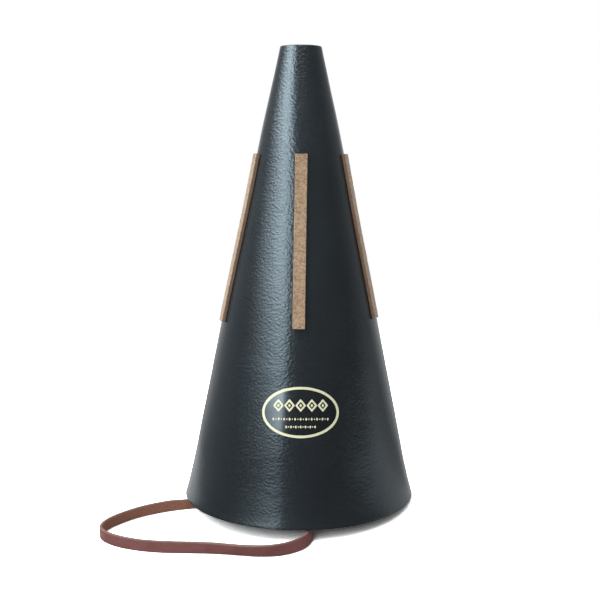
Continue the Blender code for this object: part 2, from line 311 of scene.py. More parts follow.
class Recipe:
    """The nodes of one material or of the world."""

    def __init__(self, tree: bpy.types.NodeTree) -> None:
        """Starts with an empty node tree."""
        self.tree = tree
        tree.nodes.clear()

    def node(self, kind: str, settings: dict | None = None, sockets: dict | None = None) -> bpy.types.Node:
        """Adds a node.

        Args:
            kind: The node's type.
            settings: The node's own settings, which are set first.
            sockets: A number, a colour or a Value for each input, by name or by place.

        Returns:
            The node.
        """
        made = self.tree.nodes.new(kind)
        for name, setting in (settings or {}).items():
            setattr(made, name, setting)
        for name, given in (sockets or {}).items():
            if isinstance(given, Value):
                self.tree.links.new(given.socket, made.inputs[name])
            elif isinstance(given, tuple) and len(given) == 3 and made.inputs[name].type == "RGBA":
                made.inputs[name].default_value = (*given, 1.0)
            else:
                made.inputs[name].default_value = given
        return made

    def value(
        self, kind: str, settings: dict | None = None, sockets: dict | None = None, output: str | int = 0
    ) -> Value:
        """Adds a node and gives one of its outputs as a value."""
        return Value(self, self.node(kind, settings, sockets).outputs[output])

    def solid(self) -> Value:
        """The place in the object, in metres."""
        return self.value("ShaderNodeTexCoord", output="Object")

    def sheet(self) -> Value:
        """The place on the piece's own pattern map, in metres."""
        return self.value("ShaderNodeUVMap", {"uv_map": "pattern"})

    def mark(self) -> Value:
        """The number that the piece's mesh holds at each point."""
        return self.value("ShaderNodeAttribute", {"attribute_name": "mark"}, output="Fac")

    def scaled(self, place: Value, *times: float) -> Value:
        """A place times a number along each axis."""
        return self.value("ShaderNodeVectorMath", {"operation": "MULTIPLY"}, {0: place, 1: times})

    def axis(self, vector: Value, name: str) -> Value:
        """A vector's x, y or z."""
        return self.value("ShaderNodeSeparateXYZ", {}, {0: vector}, name)

    def length(self, vector: Value) -> Value:
        """How long a vector is."""
        return self.value("ShaderNodeVectorMath", {"operation": "LENGTH"}, {0: vector}, "Value")

    def mix(self, share: Value, low: Value, high: Value) -> Value:
        """One shader where the share is 0 and another where it is 1."""
        return self.value("ShaderNodeMixShader", {}, {0: share, 1: low, 2: high})

    def noise(self, place: Value, size: float, detail: float = 2.0, bent: float = 0.0) -> Value:
        """Cloudy noise from 0 to 1, whose blots are about as wide as size."""
        sockets = {"Vector": place, "Scale": 1.0 / size, "Detail": detail, "Distortion": bent}
        return self.value("ShaderNodeTexNoise", {}, sockets)

    def cells(self, place: Value, size: float, feature: str, output: str = "Distance") -> Value:
        """Cells about as wide as size: the distance in them, or each one's own colour."""
        sockets = {"Vector": place, "Scale": 1.0 / size}
        return self.value("ShaderNodeTexVoronoi", {"feature": feature}, sockets, output)

    def part(self, colour: Value, channel: str) -> Value:
        """One channel of a colour."""
        return self.value("ShaderNodeSeparateColor", {}, {0: colour}, channel)

    def blend(self, share: Value, low: Colour | Value, high: Colour | Value) -> Value:
        """Low where the share is 0 and high where it is 1.

        Args:
            share: From 0 to 1.
            low: A colour.
            high: Another colour.

        Returns:
            The blended colour.
        """
        factor, first, second, colour_out = 0, 6, 7, 2
        settings = {"data_type": "RGBA"}
        return self.value("ShaderNodeMix", settings, {factor: share, first: low, second: high}, colour_out)

    def relief(self, height: Value, depth: float, under: Value | None = None) -> Value:
        """The normal of a surface that rises by depth metres where height is 1, over any other relief.

        Args:
            height: The relief, about from 0 to 1.
            depth: How high it is, in metres.
            under: The normal of the relief that it lies on.

        Returns:
            The normal.
        """
        sockets = {"Height": height, "Distance": depth, "Strength": 1.0}
        if under is not None:
            sockets["Normal"] = under
        return self.value("ShaderNodeBump", {}, sockets)

    def finish(self, **sockets: Value | float | Colour) -> None:
        """Ends a material with a Principled shader; a socket's name is written with underscores."""
        named = {name.replace("_", " "): given for name, given in sockets.items()}
        shader = self.value("ShaderNodeBsdfPrincipled", {}, named)
        self.node("ShaderNodeOutputMaterial", {}, {"Surface": shader})


def new_material(name: str) -> tuple[bpy.types.Material, Recipe]:
    """A material and its empty recipe.

    Args:
        name: The material's name.

    Returns:
        The material, and the recipe that fills it.
    """
    made = bpy.data.materials.new(name)
    made.use_nodes = True
    return made, Recipe(made.node_tree)


@dataclass(frozen=True)
class LacqueredPaper:
    """Black lacquered paper, pressed with a fine leather grain and brushed down the cone.

    Attributes:
        black: Colour of the lacquer.
        worn: Colour of the paper where the lacquer is thin.
        sheen: Colour of the lacquer's reflections.
        wrinkle: Width of the grain's wrinkles, up the cone.
        wrinkle_depth: Height that the wrinkles would have at the sheet's apex.
        flattening: How fast they flatten away from the apex, as a share a metre.
        dent: Width of the slow unevenness of the board.
        dent_depth: Height of the slow unevenness.
        streak: Width of a brush mark round the cone.
        streak_depth: Height of a brush mark.
        smooth: Roughness of the lacquer.
        rough: Roughness of the lacquer in the grain's hollows.
        cloud: Width of the slow changes in wear and roughness.
        index: Index of refraction of the lacquer.
    """

    black: Colour = (0.0185, 0.0222, 0.0257)
    worn: Colour = (0.0240, 0.0285, 0.0335)
    sheen: Colour = (0.74, 0.90, 1.0)
    wrinkle: float = 1.45 * MM
    wrinkle_depth: float = 0.255 * MM
    flattening: float = 1.84
    dent: float = 9.0 * MM
    dent_depth: float = 0.10 * MM
    streak: float = 3.0 * MM
    streak_depth: float = 0.035 * MM
    smooth: float = 0.19
    rough: float = 0.25
    cloud: float = 30.0 * MM
    index: float = 1.60

    def material(self) -> bpy.types.Material:
        """Makes the material, whose patterns lie on the flat sheet that the cone is rolled from.

        The wrinkles are deeper near the sheet's apex, where it is rolled more tightly.

        Returns:
            The material.
        """
        made, recipe = new_material("lacquered_paper")
        sheet = recipe.sheet()
        wrinkles = recipe.noise(recipe.scaled(sheet, 0.88, 1.0, 1.0), self.wrinkle, 1.0, 0.3)
        dents = recipe.noise(recipe.scaled(sheet, 0.8, 1.0, 1.0), self.dent, 1.0)
        streaks = recipe.noise(recipe.scaled(sheet, 1.0, 0.05, 1.0), self.streak, 2.0)
        slow = recipe.noise(sheet, self.cloud, 2.0)
        normal = recipe.relief(dents, self.dent_depth)
        normal = recipe.relief(streaks, self.streak_depth, normal)
        flatter = 1.0 - recipe.length(sheet) * self.flattening
        normal = recipe.relief(wrinkles * flatter, self.wrinkle_depth, normal)
        hollow = wrinkles.rise(0.62, 0.38)
        roughness = self.smooth + hollow * (self.rough - self.smooth) + (slow - 0.5) * 0.04
        recipe.finish(
            Base_Color=recipe.blend(hollow * slow.rise(0.35, 0.75), self.black, self.worn),
            Roughness=roughness,
            Normal=normal,
            IOR=self.index,
            Specular_IOR_Level=1.0,
            Specular_Tint=self.sheen,
        )
        return made


@dataclass(frozen=True)
class PlainBoard:
    """Unlacquered grey-black board, as inside the cone and on its closed end.

    Attributes:
        name: The material's name.
        dark: Colour between the fibres.
        light: Colour of the fibres.
        fibre: Width of a fibre.
        fibre_depth: Height of the fibres.
        cloud: Width of the darker and lighter patches.
    """

    name: str = "plain_board"
    dark: Colour = (0.020, 0.018, 0.016)
    light: Colour = (0.060, 0.053, 0.046)
    fibre: float = 0.5 * MM
    fibre_depth: float = 0.04 * MM
    cloud: float = 12.0 * MM

    def material(self) -> bpy.types.Material:
        """Makes the material: short fibres crossed in two directions, over slow clouds.

        Returns:
            The material.
        """
        made, recipe = new_material(self.name)
        solid = recipe.solid()
        first = recipe.noise(recipe.scaled(solid, 0.2, 1.0, 0.6), self.fibre, 2.0, 1.2)
        second = recipe.noise(recipe.scaled(solid, 1.0, 0.2, 0.6), self.fibre, 2.0, 1.2)
        clouds = recipe.noise(solid, self.cloud, 3.0)
        fibres = first.either(second)
        share = fibres.rise(0.45, 0.75) * clouds.rise(0.2, 0.8)
        recipe.finish(
            Base_Color=recipe.blend(share, self.dark, self.light),
            Roughness=0.95 - fibres * 0.15,
            Normal=recipe.relief(fibres, self.fibre_depth),
        )
        return made


@dataclass(frozen=True)
class Cork:
    """Pressed cork: pale and brown granules, dark specks and open pores.

    Attributes:
        pale: Colour of the lightest granules.
        tan: Usual colour.
        brown: Colour of the darker granules and of the joints between them.
        bark: Colour of the specks.
        cut: Colour of the sliced sides, which have soaked up lacquer.
        glue_and_shade: Colour of the dark band along the foot of the sides: partly the bonded joint, partly
            painted contact shade where the strip meets the cone.
        granule: Width of a granule.
        speck: Width of a cell of which some are specks.
        cloud: Width of the darker and lighter patches.
        grit: Width of the dust between the granules.
        relief: Height of the granules.
    """

    pale: Colour = shade(192, 166, 138)
    tan: Colour = shade(174, 144, 115)
    brown: Colour = shade(140, 108, 82)
    bark: Colour = shade(92, 62, 46)
    cut: Colour = shade(128, 102, 84)
    glue_and_shade: Colour = shade(34, 28, 26)
    granule: float = 1.0 * MM
    speck: float = 0.55 * MM
    cloud: float = 3.0 * MM
    grit: float = 0.35 * MM
    relief: float = 0.07 * MM

    def material(self) -> bpy.types.Material:
        """Makes the material. The mark is 1 on a strip's outer face, 0 on its sides and -1 at its foot.

        Returns:
            The material.
        """
        made, recipe = new_material("cork")
        solid, face = recipe.solid(), recipe.mark()
        tone = recipe.part(recipe.cells(solid, self.granule, "F1", "Color"), "Red")
        joints = recipe.cells(solid, self.granule, "DISTANCE_TO_EDGE").rise(0.10, 0.0)
        draw = recipe.part(recipe.cells(solid, self.speck, "F1", "Color"), "Green")
        specks = draw.rise(0.80, 0.86) * recipe.cells(solid, self.speck, "F1").rise(0.55, 0.30)
        clouds = recipe.noise(solid, self.cloud, 3.0)
        grit = recipe.noise(solid, self.grit, 2.0)
        body = recipe.blend(tone.rise(0.15, 0.95), self.tan, self.pale)
        body = recipe.blend(tone.rise(0.30, 0.0) * 0.7, body, self.brown)
        body = recipe.blend(clouds.rise(0.55, 0.85) * 0.6, body, self.brown)
        body = recipe.blend(joints * 0.45, body, self.brown)
        body = recipe.blend(grit.rise(0.55, 0.75) * 0.30, body, self.brown)
        body = recipe.blend((1.0 - face.rise(0.0, 1.0)) * 0.85, body, self.cut)
        body = recipe.blend(specks * 0.85, body, self.bark)
        # Painted contact shade: the foot of each side is blended to near-black, partly for the bonded joint
        # and partly for the shade that falls where the strip meets the cone.
        body = recipe.blend(face.rise(-0.2, -0.8), body, self.glue_and_shade)
        height = grit * 0.5 - joints * 0.5 - specks
        recipe.finish(
            Base_Color=body,
            Roughness=0.88,
            Normal=recipe.relief(height, self.relief),
            Sheen_Weight=0.35,
            Sheen_Roughness=0.5,
        )
        return made


@dataclass(frozen=True)
class StrapLeather:
    """Dyed cowhide: a smooth grain face, a fibrous flesh face and paler cut edges.

    Attributes:
        grain: Colour of the grain face.
        grain_dark: Colour of its creases and rubbed places.
        flesh: Colour of the flesh face.
        flesh_dark: Colour between its fibres.
        edge: Colour of the cut edges.
        edge_dark: Colour of the edges' layers.
        pore: Width of the grain's pores.
        pore_depth: Depth of the pores.
        fibre: Width of a fibre on the flesh face.
        fibre_depth: Height of the fibres.
        crease: Width of the grain's creases.
        cloud: Width of the darker and lighter patches.
        layer: Thickness of a layer in the cut edges.
    """

    grain: Colour = shade(145, 92, 88)
    grain_dark: Colour = shade(113, 65, 63)
    flesh: Colour = shade(181, 126, 103)
    flesh_dark: Colour = shade(127, 82, 67)
    edge: Colour = shade(142, 115, 104)
    edge_dark: Colour = shade(102, 77, 68)
    pore: float = 0.45 * MM
    pore_depth: float = 0.03 * MM
    fibre: float = 0.30 * MM
    fibre_depth: float = 0.09 * MM
    crease: float = 1.8 * MM
    cloud: float = 14.0 * MM
    layer: float = 0.35 * MM

    def material(self) -> bpy.types.Material:
        """Makes the material. The mark is 1 on the grain face, -1 on the flesh and between on the edges.

        Returns:
            The material.
        """
        made, recipe = new_material("strap_leather")
        sheet, side = recipe.sheet(), recipe.mark()
        on_grain, on_flesh = side.rise(0.70, 0.96), side.rise(-0.70, -0.96)
        pores = recipe.cells(recipe.scaled(sheet, 0.8, 1.0, 1.0), self.pore, "DISTANCE_TO_EDGE")
        pores = pores.rise(0.10, 0.0)
        creases = recipe.noise(recipe.scaled(sheet, 1.0, 0.35, 1.0), self.crease, 3.0, 0.6)
        clouds = recipe.noise(sheet, self.cloud, 3.0)
        fibres = recipe.noise(recipe.scaled(sheet, 0.35, 1.0, 1.0), self.fibre, 4.0, 1.6)
        layers = recipe.noise(recipe.scaled(sheet, 0.12, 1.0, 1.0), self.layer, 2.0, 0.4)
        rubbed = clouds.rise(0.35, 0.75) * 0.55 + creases.rise(0.55, 0.75) * 0.25
        grain = recipe.blend(rubbed, self.grain, self.grain_dark)
        grain = recipe.blend(pores * 0.35, grain, self.grain_dark)
        flesh = recipe.blend(fibres.rise(0.38, 0.66) * 0.75 + clouds * 0.2, self.flesh, self.flesh_dark)
        edge = recipe.blend(layers.rise(0.40, 0.70) * 0.7, self.edge, self.edge_dark)
        colour = recipe.blend(on_flesh, recipe.blend(on_grain, edge, grain), flesh)
        height = on_grain * (creases * 0.9 - pores) * (self.pore_depth / self.fibre_depth)
        height = height + (1.0 - on_grain) * fibres
        recipe.finish(
            Base_Color=colour,
            Roughness=0.86 - on_grain * (0.36 - creases * 0.16),
            Normal=recipe.relief(height, self.fibre_depth),
        )
        return made


@dataclass(frozen=True)
class GlossLabel:
    """The label's smooth black field.

    Attributes:
        black: Colour of the field.
        dusty: Colour of the dust on it.
        sheen: Colour of its reflections.
        ripple: Width of the slow unevenness below the film.
        ripple_depth: Height of that unevenness.
        speck: Width of the dust's specks.
        index: Index of refraction of the print.
        film_rough: Roughness of the clear film over it.
    """

    black: Colour = (0.0105, 0.0118, 0.0130)
    dusty: Colour = shade(30, 34, 38)
    sheen: Colour = (0.74, 0.90, 1.0)
    ripple: float = 7.0 * MM
    ripple_depth: float = 0.030 * MM
    speck: float = 0.6 * MM
    index: float = 2.0
    film_rough: float = 0.12

    def material(self) -> bpy.types.Material:
        """Makes the material: black print with a little dust, under a clear film.

        Returns:
            The material.
        """
        made, recipe = new_material("label_black")
        sheet = recipe.sheet()
        ripples = recipe.noise(sheet, self.ripple, 1.0)
        dust = recipe.noise(sheet, self.speck, 2.0)
        recipe.finish(
            Base_Color=recipe.blend(dust.rise(0.5, 0.9), self.black, self.dusty),
            Roughness=0.14 + dust * 0.08,
            Normal=recipe.relief(ripples, self.ripple_depth),
            IOR=self.index,
            Specular_IOR_Level=1.0,
            Specular_Tint=self.sheen,
            Coat_Weight=1.0,
            Coat_Roughness=self.film_rough,
        )
        return made


@dataclass(frozen=True)
class GoldFoil:
    """Pale gold foil, as stamped on a label: satin, a little broken in its hollows.

    Attributes:
        gold: Colour of the foil.
        dull: Colour where it is worn.
        speckle: Width of the worn specks.
        speckle_depth: Depth of the worn specks.
        cloud: Width of the worn patches.
    """

    gold: Colour = shade(252, 250, 214)
    dull: Colour = shade(226, 220, 176)
    speckle: float = 0.7 * MM
    speckle_depth: float = 0.010 * MM
    cloud: float = 5.0 * MM

    def material(self) -> bpy.types.Material:
        """Makes the material, part metal and part print.

        Returns:
            The material.
        """
        made, recipe = new_material("gold_foil")
        sheet = recipe.sheet()
        specks = recipe.noise(sheet, self.speckle, 3.0)
        clouds = recipe.noise(sheet, self.cloud, 2.0)
        worn = specks.rise(0.55, 0.80) * 0.6 + clouds.rise(0.45, 0.8) * 0.4
        recipe.finish(
            Base_Color=recipe.blend(worn, self.gold, self.dull),
            Roughness=0.36 + worn * 0.2,
            Metallic=0.15,
            Normal=recipe.relief(specks, self.speckle_depth),
        )
        return made


@dataclass(frozen=True)
class TurnedBrass:
    """Brass as a stamped rivet has it: fine turning marks, and dulled in patches.

    Attributes:
        bright: Colour of the clean metal.
        dull: Colour where it has tarnished.
        patch: Width of the tarnished patches.
        scratch: Width of a turning mark.
        scratch_depth: Depth of a turning mark.
    """

    bright: Colour = shade(222, 190, 120)
    dull: Colour = shade(150, 112, 62)
    patch: float = 2.2 * MM
    scratch: float = 0.25 * MM
    scratch_depth: float = 0.008 * MM

    def material(self) -> bpy.types.Material:
        """Makes the material: tarnished patches, with turning marks all over.

        Returns:
            The material.
        """
        made, recipe = new_material("turned_brass")
        solid = recipe.solid()
        patches = recipe.noise(solid, self.patch, 4.0)
        scratches = recipe.noise(recipe.scaled(solid, 1.0, 0.08, 1.0), self.scratch, 2.0)
        tarnish = patches.rise(0.42, 0.72)
        recipe.finish(
            Base_Color=recipe.blend(tarnish, self.bright, self.dull),
            Roughness=0.26 + tarnish * 0.24 + scratches * 0.08,
            Metallic=1.0,
            Normal=recipe.relief(scratches, self.scratch_depth),
        )
        return made


@dataclass(frozen=True)
class Stance:
    """How the mute stands.

    Attributes:
        base: Centre of the rim, in metres.
        axes: The mute's own x, y and z, as the columns of a 3 by 3 array.
    """

    base: np.ndarray
    axes: np.ndarray

    @classmethod
    def of_record(cls, record: dict, rim_radius: float) -> Stance:
        """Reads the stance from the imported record.

        The narrow end's axis is where the mute's own z points. The shortest turn takes +Z there: it is
        the sum of the identity, K and K K / (1 + cosine), where K is the cross product with z x axis.
        The rim's lowest point touches the surface, so its centre is its radius times the lean's sine up.

        Args:
            record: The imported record.
            rim_radius: Outside radius of the wide end.

        Returns:
            The stance.
        """
        narrow_end = next(m for m in record["mounts"] if m["name"] == "narrow_end")
        axis = np.array(narrow_end["axis"])
        axis = axis / np.linalg.norm(axis)
        x, y, _ = np.cross(UP, axis)
        cross = np.array([[0.0, 0.0, y], [0.0, 0.0, -x], [-y, x, 0.0]])
        axes = np.eye(3) + cross + cross @ cross / (1.0 + axis[2])
        return cls(np.array([0.0, 0.0, rim_radius * math.hypot(axis[0], axis[1])]), axes)

    def place(self, points: np.ndarray) -> np.ndarray:
        """Sets points given in the mute's own frame down where it stands."""
        return points @ self.axes.T + self.base


def make_piece(
    name: str,
    shapes: list[Shape],
    finishes: list[bpy.types.Material],
    replaces: tuple[str, ...] = (),
    sharp: float = 40.0,
) -> bpy.types.Object:
    """Puts surfaces into one mesh and hangs it on the mute's body.

    Args:
        name: The piece's name.
        shapes: Its closed surfaces, in the row frame.
        finishes: Its materials, in the order of the shapes' bands.
        replaces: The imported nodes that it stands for.
        sharp: Angle in degrees above which an edge stays sharp.

    Returns:
        The piece.
    """
    first = np.concatenate([[0], np.cumsum([len(s.points) for s in shapes])[:-1]])
    quads = np.concatenate([s.quads + start for s, start in zip(shapes, first)])
    triangles = np.concatenate([s.triangles + start for s, start in zip(shapes, first)])
    mesh = bpy.data.meshes.new(name)
    points = np.concatenate([s.points for s in shapes])
    mesh.from_pydata(points.tolist(), [], quads.tolist() + triangles.tolist())
    places = [s.quad_places.reshape(-1, 2) for s in shapes]
    places += [s.triangle_places.reshape(-1, 2) for s in shapes]
    pattern = mesh.uv_layers.new(name="pattern")
    pattern.data.foreach_set("uv", np.concatenate(places).astype(np.float32).ravel())
    bands = np.concatenate([s.quad_bands for s in shapes] + [s.triangle_bands for s in shapes])
    mesh.polygons.foreach_set("material_index", bands.astype(np.int32))
    mark = mesh.attributes.new("mark", "FLOAT", "POINT")
    mark.data.foreach_set("value", np.concatenate([s.marks for s in shapes]).astype(np.float32))
    for finish in finishes:
        mesh.materials.append(finish)
    mesh.shade_smooth()
    mesh.set_sharp_from_angle(angle=math.radians(sharp))
    mesh.update()
    piece = bpy.data.objects.new(name, mesh)
    bpy.context.scene.collection.objects.link(piece)
    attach(piece, BODY)
    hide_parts(*replaces)
    log.info("%s: %d faces", name, len(mesh.polygons))
    return piece


def rounded_corner(radius: float, start: float, count: int) -> np.ndarray:
    """Points of a quarter circle about the origin, from an angle in degrees on through a right angle."""
    angles = np.radians(np.linspace(start, start + 90.0, count))
    return radius * np.stack([np.cos(angles), np.sin(angles)], axis=-1)


def rounded_box(half_width: float, half_height: float, corner: float, gap: float) -> np.ndarray:
    """A rectangle with round corners as a loop of points about the origin.

    Each corner is a quarter circle of five points. Each straight side between two corners gets points
    about a gap apart.

    Args:
        half_width: Half the size along the first axis.
        half_height: Half the size along the second axis.
        corner: Radius of the corners.
        gap: Distance between the points on the sides.

    Returns:
        The loop, n by 2, anticlockwise from the right side's top corner.
    """
    turn_points = 5
    signs = ((1, 1), (-1, 1), (-1, -1), (1, -1))
    centres = [np.array([x * (half_width - corner), y * (half_height - corner)]) for x, y in signs]
    arcs = [centre + rounded_corner(corner, 90.0 * i, turn_points) for i, centre in enumerate(centres)]
    loop = []
    for arc, after in zip(arcs, arcs[1:] + arcs[:1]):
        steps = max(2, round(np.linalg.norm(after[0] - arc[-1]) / gap))
        side = np.linspace(arc[-1], after[0], steps + 1)
        loop += [arc, side[1:-1]]
    return np.concatenate(loop)


@dataclass
class Cone:
    """The cone, rolled from one sheet of board, and the places on it.

    Attributes:
        stance: How the mute stands.
        length: Rim to narrow end.
        rim_radius: Outside radius of the wide end.
        tip_radius: Outside radius of the narrow end.
        wall: Thickness of the board, square to the surface.
        edge: Radius of the cut edges' outer corners.
        inner_edge: Radius of their inner corners.
        lap_step: Height of the sheet's outer edge at the seam.
        lap_angle: Angle over which the lap fades out.
        swells: Where the cone stands out from straight: the height, how far that reaches and how much.
        flare: How far the rim is spread by the plate and the hoop in it.
        flare_reach: Height at which that has fallen to about a third.
        unevenness: Noise of the hand-rolled board: how high, how wide and its seed.
        fray: How far the cut edges are frayed up and down.
        fray_width: Width of the fraying's noise.
        columns: Points round the cone.
        rows: Points up the outside.
        bore_rows: Points down the bore.
        half_angle: Half the angle at the cone's apex, worked out from the length and both radii.
    """

    stance: Stance
    length: float = 280.0 * MM
    rim_radius: float = 72.1 * MM
    tip_radius: float = 12.85 * MM
    wall: float = 2.2 * MM
    edge: float = 0.45 * MM
    inner_edge: float = 0.25 * MM
    lap_step: float = 0.5 * MM
    lap_angle: float = math.radians(15.0)
    swells: tuple[tuple[float, float, float], ...] = (
        (280.0 * MM, 30.0 * MM, -0.22 * MM),
        (228.0 * MM, 28.0 * MM, 0.42 * MM),
        (116.0 * MM, 52.0 * MM, 0.50 * MM),
        (24.0 * MM, 14.0 * MM, -0.25 * MM),
    )
    flare: float = 0.65 * MM
    flare_reach: float = 5.5 * MM
    unevenness: tuple[tuple[float, float, int], ...] = (
        (0.10 * MM, 34.0 * MM, 11),
        (0.035 * MM, 11.0 * MM, 12),
    )
    fray: float = 0.05 * MM
    fray_width: float = 1.7 * MM
    columns: int = 288
    rows: int = 196
    bore_rows: int = 60
    half_angle: float = field(init=False)

    def __post_init__(self) -> None:
        """Works out the cone's half angle."""
        self.half_angle = math.atan((self.rim_radius - self.tip_radius) / self.length)

    def radius(self, height: np.ndarray | float) -> np.ndarray | float:
        """Outside radius of the plain cone at a height."""
        return self.rim_radius - height * math.tan(self.half_angle)

    def depth_of_wall(self) -> float:
        """Thickness of the board, measured level."""
        return self.wall / math.cos(self.half_angle)

    def skin(self, azimuth: np.ndarray, height: np.ndarray, lift: np.ndarray | float = 0.0) -> np.ndarray:
        """Places on the outside, or raised from it, in the mute's own frame.

        The radius is the plain cone's, plus the swells, each of which is a bell curve of the height, plus
        the rim's flare, which falls exponentially up the cone, plus two scales of noise for the hand-rolled
        board. The lift is square to the slope.

        Args:
            azimuth: Azimuths in radians.
            height: Heights up the axis.
            lift: Distance out from the surface.

        Returns:
            The places.
        """
        away, radius = outward(azimuth), self.radius(height)
        plain = away * radius[..., None] + UP * height[..., None]
        bulge = sum(most * np.exp(-(((height - middle) / reach) ** 2)) for middle, reach, most in self.swells)
        bulge = bulge + self.flare * np.exp(-height / self.flare_reach)
        uneven = sum(most * slow_noise(plain, cell, seed) for most, cell, seed in self.unevenness)
        slope = away * math.cos(self.half_angle) + UP * math.sin(self.half_angle)
        lift = np.broadcast_to(lift, radius.shape)
        return plain + away * (bulge + uneven)[..., None] + slope * lift[..., None]

    def flat(self, azimuth: np.ndarray, height: np.ndarray) -> np.ndarray:
        """Places on the unrolled sheet: the slant distance from the apex, at azimuth times the sine.

        Args:
            azimuth: Azimuths in radians.
            height: Heights up the axis.

        Returns:
            The places, with x and y on the last axis.
        """
        slant = self.radius(height) / math.sin(self.half_angle)
        turned = azimuth * math.sin(self.half_angle)
        return np.stack([slant * np.sin(turned), -slant * np.cos(turned)], axis=-1)

    def rolled(self, flat: np.ndarray) -> tuple[np.ndarray, np.ndarray]:
        """Azimuth and height of places on the unrolled sheet.

        Args:
            flat: The places, with x and y on the last axis.

        Returns:
            The azimuths and the heights.
        """
        x, y = flat[..., 0], flat[..., 1]
        azimuth = np.arctan2(x, -y) / math.sin(self.half_angle)
        height = (self.rim_radius - np.hypot(x, y) * math.sin(self.half_angle)) / math.tan(self.half_angle)
        return azimuth, height

    def on_sheet(
        self, height: float, turn: float, across: np.ndarray, up: np.ndarray, lift: np.ndarray
    ) -> np.ndarray:
        """Places beside a point, measured on the flat sheet, in the row frame.

        Args:
            height: Height of the point.
            turn: Azimuth of the point.
            across: Distances towards +X.
            up: Distances up the slope.
            lift: Distances out from the surface.

        Returns:
            The places.
        """
        middle = self.flat(np.array(0.0), np.array(height))
        azimuth, heights = self.rolled(middle + np.stack([across, up], axis=-1))
        return self.stance.place(self.skin(azimuth + turn, heights, lift))

    def section(self) -> tuple[np.ndarray, np.ndarray, np.ndarray, np.ndarray]:
        """The wall's section as a closed loop.

        It goes from the rim's cut edge round its outer corner, up the outside, over the narrow end and
        down the bore.

        Returns:
            The depth below the outside, the height, how far each point follows the outside, and the
            material of each row of faces: 0 the lacquered outside, 1 a cut edge, 2 the bore.
        """
        wall, top = self.depth_of_wall(), self.length
        low = rounded_corner(self.edge, 270.0, 6)
        high = rounded_corner(self.edge, 0.0, 6)
        inner_high = rounded_corner(self.inner_edge, 90.0, 4)
        inner_low = rounded_corner(self.inner_edge, 180.0, 4)
        up_skin = np.linspace(self.edge, top - self.edge, self.rows)[1:-1]
        down_bore = np.linspace(top - self.inner_edge, self.inner_edge, self.bore_rows)[1:-1]
        across = np.linspace(self.edge, wall - self.inner_edge, 5)[1:-1]
        depth = [self.edge - low[:, 0], np.zeros_like(up_skin), self.edge - high[:, 0], across]
        depth += [wall - self.inner_edge - inner_high[:, 0], np.full_like(down_bore, wall)]
        depth += [wall - self.inner_edge - inner_low[:, 0], across[::-1]]
        height = [self.edge + low[:, 1], up_skin, top - self.edge + high[:, 1], np.full_like(across, top)]
        height += [top - self.inner_edge + inner_high[:, 1], down_bore]
        height += [self.inner_edge + inner_low[:, 1], np.zeros_like(across)]
        outside = len(low) + len(up_skin) + len(high)
        inside = len(inner_high) + len(down_bore) + len(inner_low)
        fade = np.linspace(1, 0, len(across))
        edge_faces = np.ones(len(across) + 1)
        follows = [np.ones(outside), fade, np.zeros(inside), np.linspace(0, 1, len(across))]
        kinds = [np.zeros(outside - 1), edge_faces, np.full(inside - 1, 2), edge_faces]
        return tuple(np.concatenate(parts) for parts in (depth, height, follows, kinds))

    def build(self, skin: bpy.types.Material, cut: bpy.types.Material, bore: bpy.types.Material) -> None:
        """Carries the section round the axis, from the seam at the back to the seam again.

        The sheet's outer edge stands a step proud there and fades out over the lap's angle. A cut edge is
        roughened by noise.

        Args:
            skin: Finish of the outside.
            cut: Finish of the cut edges.
            bore: Finish of the inside.
        """
        depth, height, follows, kinds = self.section()
        turns = np.linspace(0.0, 2.0 * math.pi, self.columns + 1)
        azimuth, height_grid = np.meshgrid(turns - math.pi, height)
        depth_grid, follow_grid = depth[:, None] + 0 * azimuth, follows[:, None] + 0 * azimuth
        lap = self.lap_step * np.clip(1.0 - turns / self.lap_angle, 0.0, 1.0)
        places = self.skin(azimuth, height_grid)
        away = outward(azimuth)
        frayed = np.isclose(height_grid, 0.0) | np.isclose(height_grid, self.length)
        rough = self.fray * slow_noise(places, self.fray_width, 13) * frayed
        places = places + away * (lap * follow_grid - depth_grid)[..., None]
        places = self.stance.place(places + UP * rough[..., None])
        around = np.append(turns - math.pi, math.pi + self.lap_step / self.rim_radius)
        spots = self.flat(*np.meshgrid(around, np.append(height, height[0])))
        spots[..., 1] += np.append(depth, depth[0])[:, None]
        shape = grid_shape(places, Ends.JOINED, spots, kinds.astype(int))
        make_piece("cone", [shape], [skin, cut, bore], ("cone_shell",))


